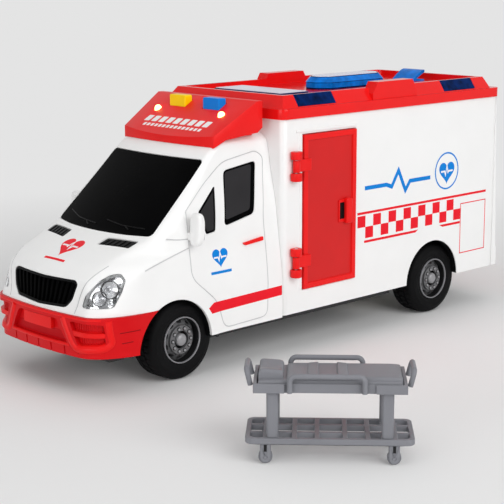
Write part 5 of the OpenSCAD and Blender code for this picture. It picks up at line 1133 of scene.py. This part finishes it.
EDGES = (
    (0.2, ["curb_lenses"]), (0.25, ["roof_visor", "chassis", "battery_cover"]),
    (0.3, ["box_shell", "tail_lamps"] + STRETCHER_FRAME),
    (0.35, ["side_door", "rear_door_left", "rear_door_right", "stretcher_tray"]),
    (0.4, ["side_hinge_brackets"]), (0.6, ["box_roof"]), (0.7, ["yellow_button", "blue_button"]))
for material, names in FINISHES:
    for name in names:
        nodes[name].data.materials.clear()
        nodes[name].data.materials.append(material)
for width, names in EDGES:
    for name in names:
        soften(nodes[name], width)


# Floor, backdrop and light, in metres

def even_background(material, level, most, near, far):
    """Mixes an even pale light into what the camera and the reflections see, most of it far away."""
    tree = material.node_tree
    link = tree.links.new

    def combine(operation, first, second):
        node = shader_node(tree, "Math")
        node.operation = operation
        link(first, node.inputs[0])
        link(second, node.inputs[1])
        return node.outputs[0]

    path = shader_node(tree, "LightPath")
    rays = path.outputs["Is Camera Ray"]
    for kind in ("Is Glossy Ray", "Is Transmission Ray"):
        rays = combine("MAXIMUM", rays, path.outputs[kind])
    place = shader_node(tree, "NewGeometry")
    reach = shader_node(tree, "VectorMath")
    reach.operation = "LENGTH"
    link(place.outputs["Position"], reach.inputs[0])
    share = shader_node(tree, "MapRange", From_Min=near, From_Max=far, To_Min=0.0, To_Max=most)
    link(reach.outputs["Value"], share.inputs["Value"])
    pale = shader_node(tree, "Emission", Color=(level, level, level, 1.0))
    mix = shader_node(tree, "MixShader")
    link(combine("MULTIPLY", rays, share.outputs["Result"]), mix.inputs[0])
    link(tree.nodes["Principled BSDF"].outputs["BSDF"], mix.inputs[1])
    link(pale.outputs["Emission"], mix.inputs[2])
    link(mix.outputs["Shader"], tree.nodes["Material Output"].inputs["Surface"])


FLOOR = plastic("studio_floor", (0.84, 0.84, 0.84), rough=0.75, vary=0.004, grain=0.0, sheen_scale=4.0,
                specular=0.1)
even_background(FLOOR, 0.79, 0.94, 0.14, 0.46)
FLOOR_REACH, FLOOR_HALF_W, SWEEP_START, SWEEP_R = 4.0, 5.0, 0.75, 0.7
sweep = [(-FLOOR_REACH, 0.0)]
for a in np.linspace(0, math.pi / 2, 13):
    sweep.append((SWEEP_START + SWEEP_R * math.sin(a), SWEEP_R - SWEEP_R * math.cos(a)))
sweep.append((SWEEP_START + SWEEP_R, FLOOR_REACH))
away = Vector((-math.cos(YAW), -math.sin(YAW), 0))
across = Vector((-away.y, away.x, 0))
floor_points = [(away * d + across * w + Vector((0, 0, h))) / MM for w in (-FLOOR_HALF_W, FLOOR_HALF_W)
                for d, h in sweep]
count = len(sweep)
floor_faces = [(i, i + 1, count + i + 1, count + i) for i in range(count - 1)]
build("studio_floor", floor_points, floor_faces, FLOOR, 60)


def area_light(name, place, target, size, power):
    data = bpy.data.lights.new(name, "AREA")
    data.shape = "RECTANGLE"
    data.size, data.size_y = size
    data.energy = power
    light = add(name, data)
    light.location = place
    light.rotation_euler = (Vector(target) - Vector(place)).to_track_quat("-Z", "Y").to_euler()


area_light("top_light", (0.1, 0.1, 1.3), (0, 0, 0), (1.6, 1.6), 4.4)
area_light("front_light", (1.25, 0.2, 0.28), (0.05, 0, 0.05), (1.0, 0.5), 4.0)
area_light("side_light", (0.1, 1.3, 0.7), (-0.03, 0, 0.06), (1.2, 0.9), 11.8)
scene.world = bpy.data.worlds.new("studio_world")
scene.world.use_nodes = True
background = scene.world.node_tree.nodes["Background"]
background.inputs["Color"].default_value = (1, 1, 1, 1)
background.inputs["Strength"].default_value = 0.36
scene.view_settings.view_transform = "Standard"

bpy.context.view_layer.update()
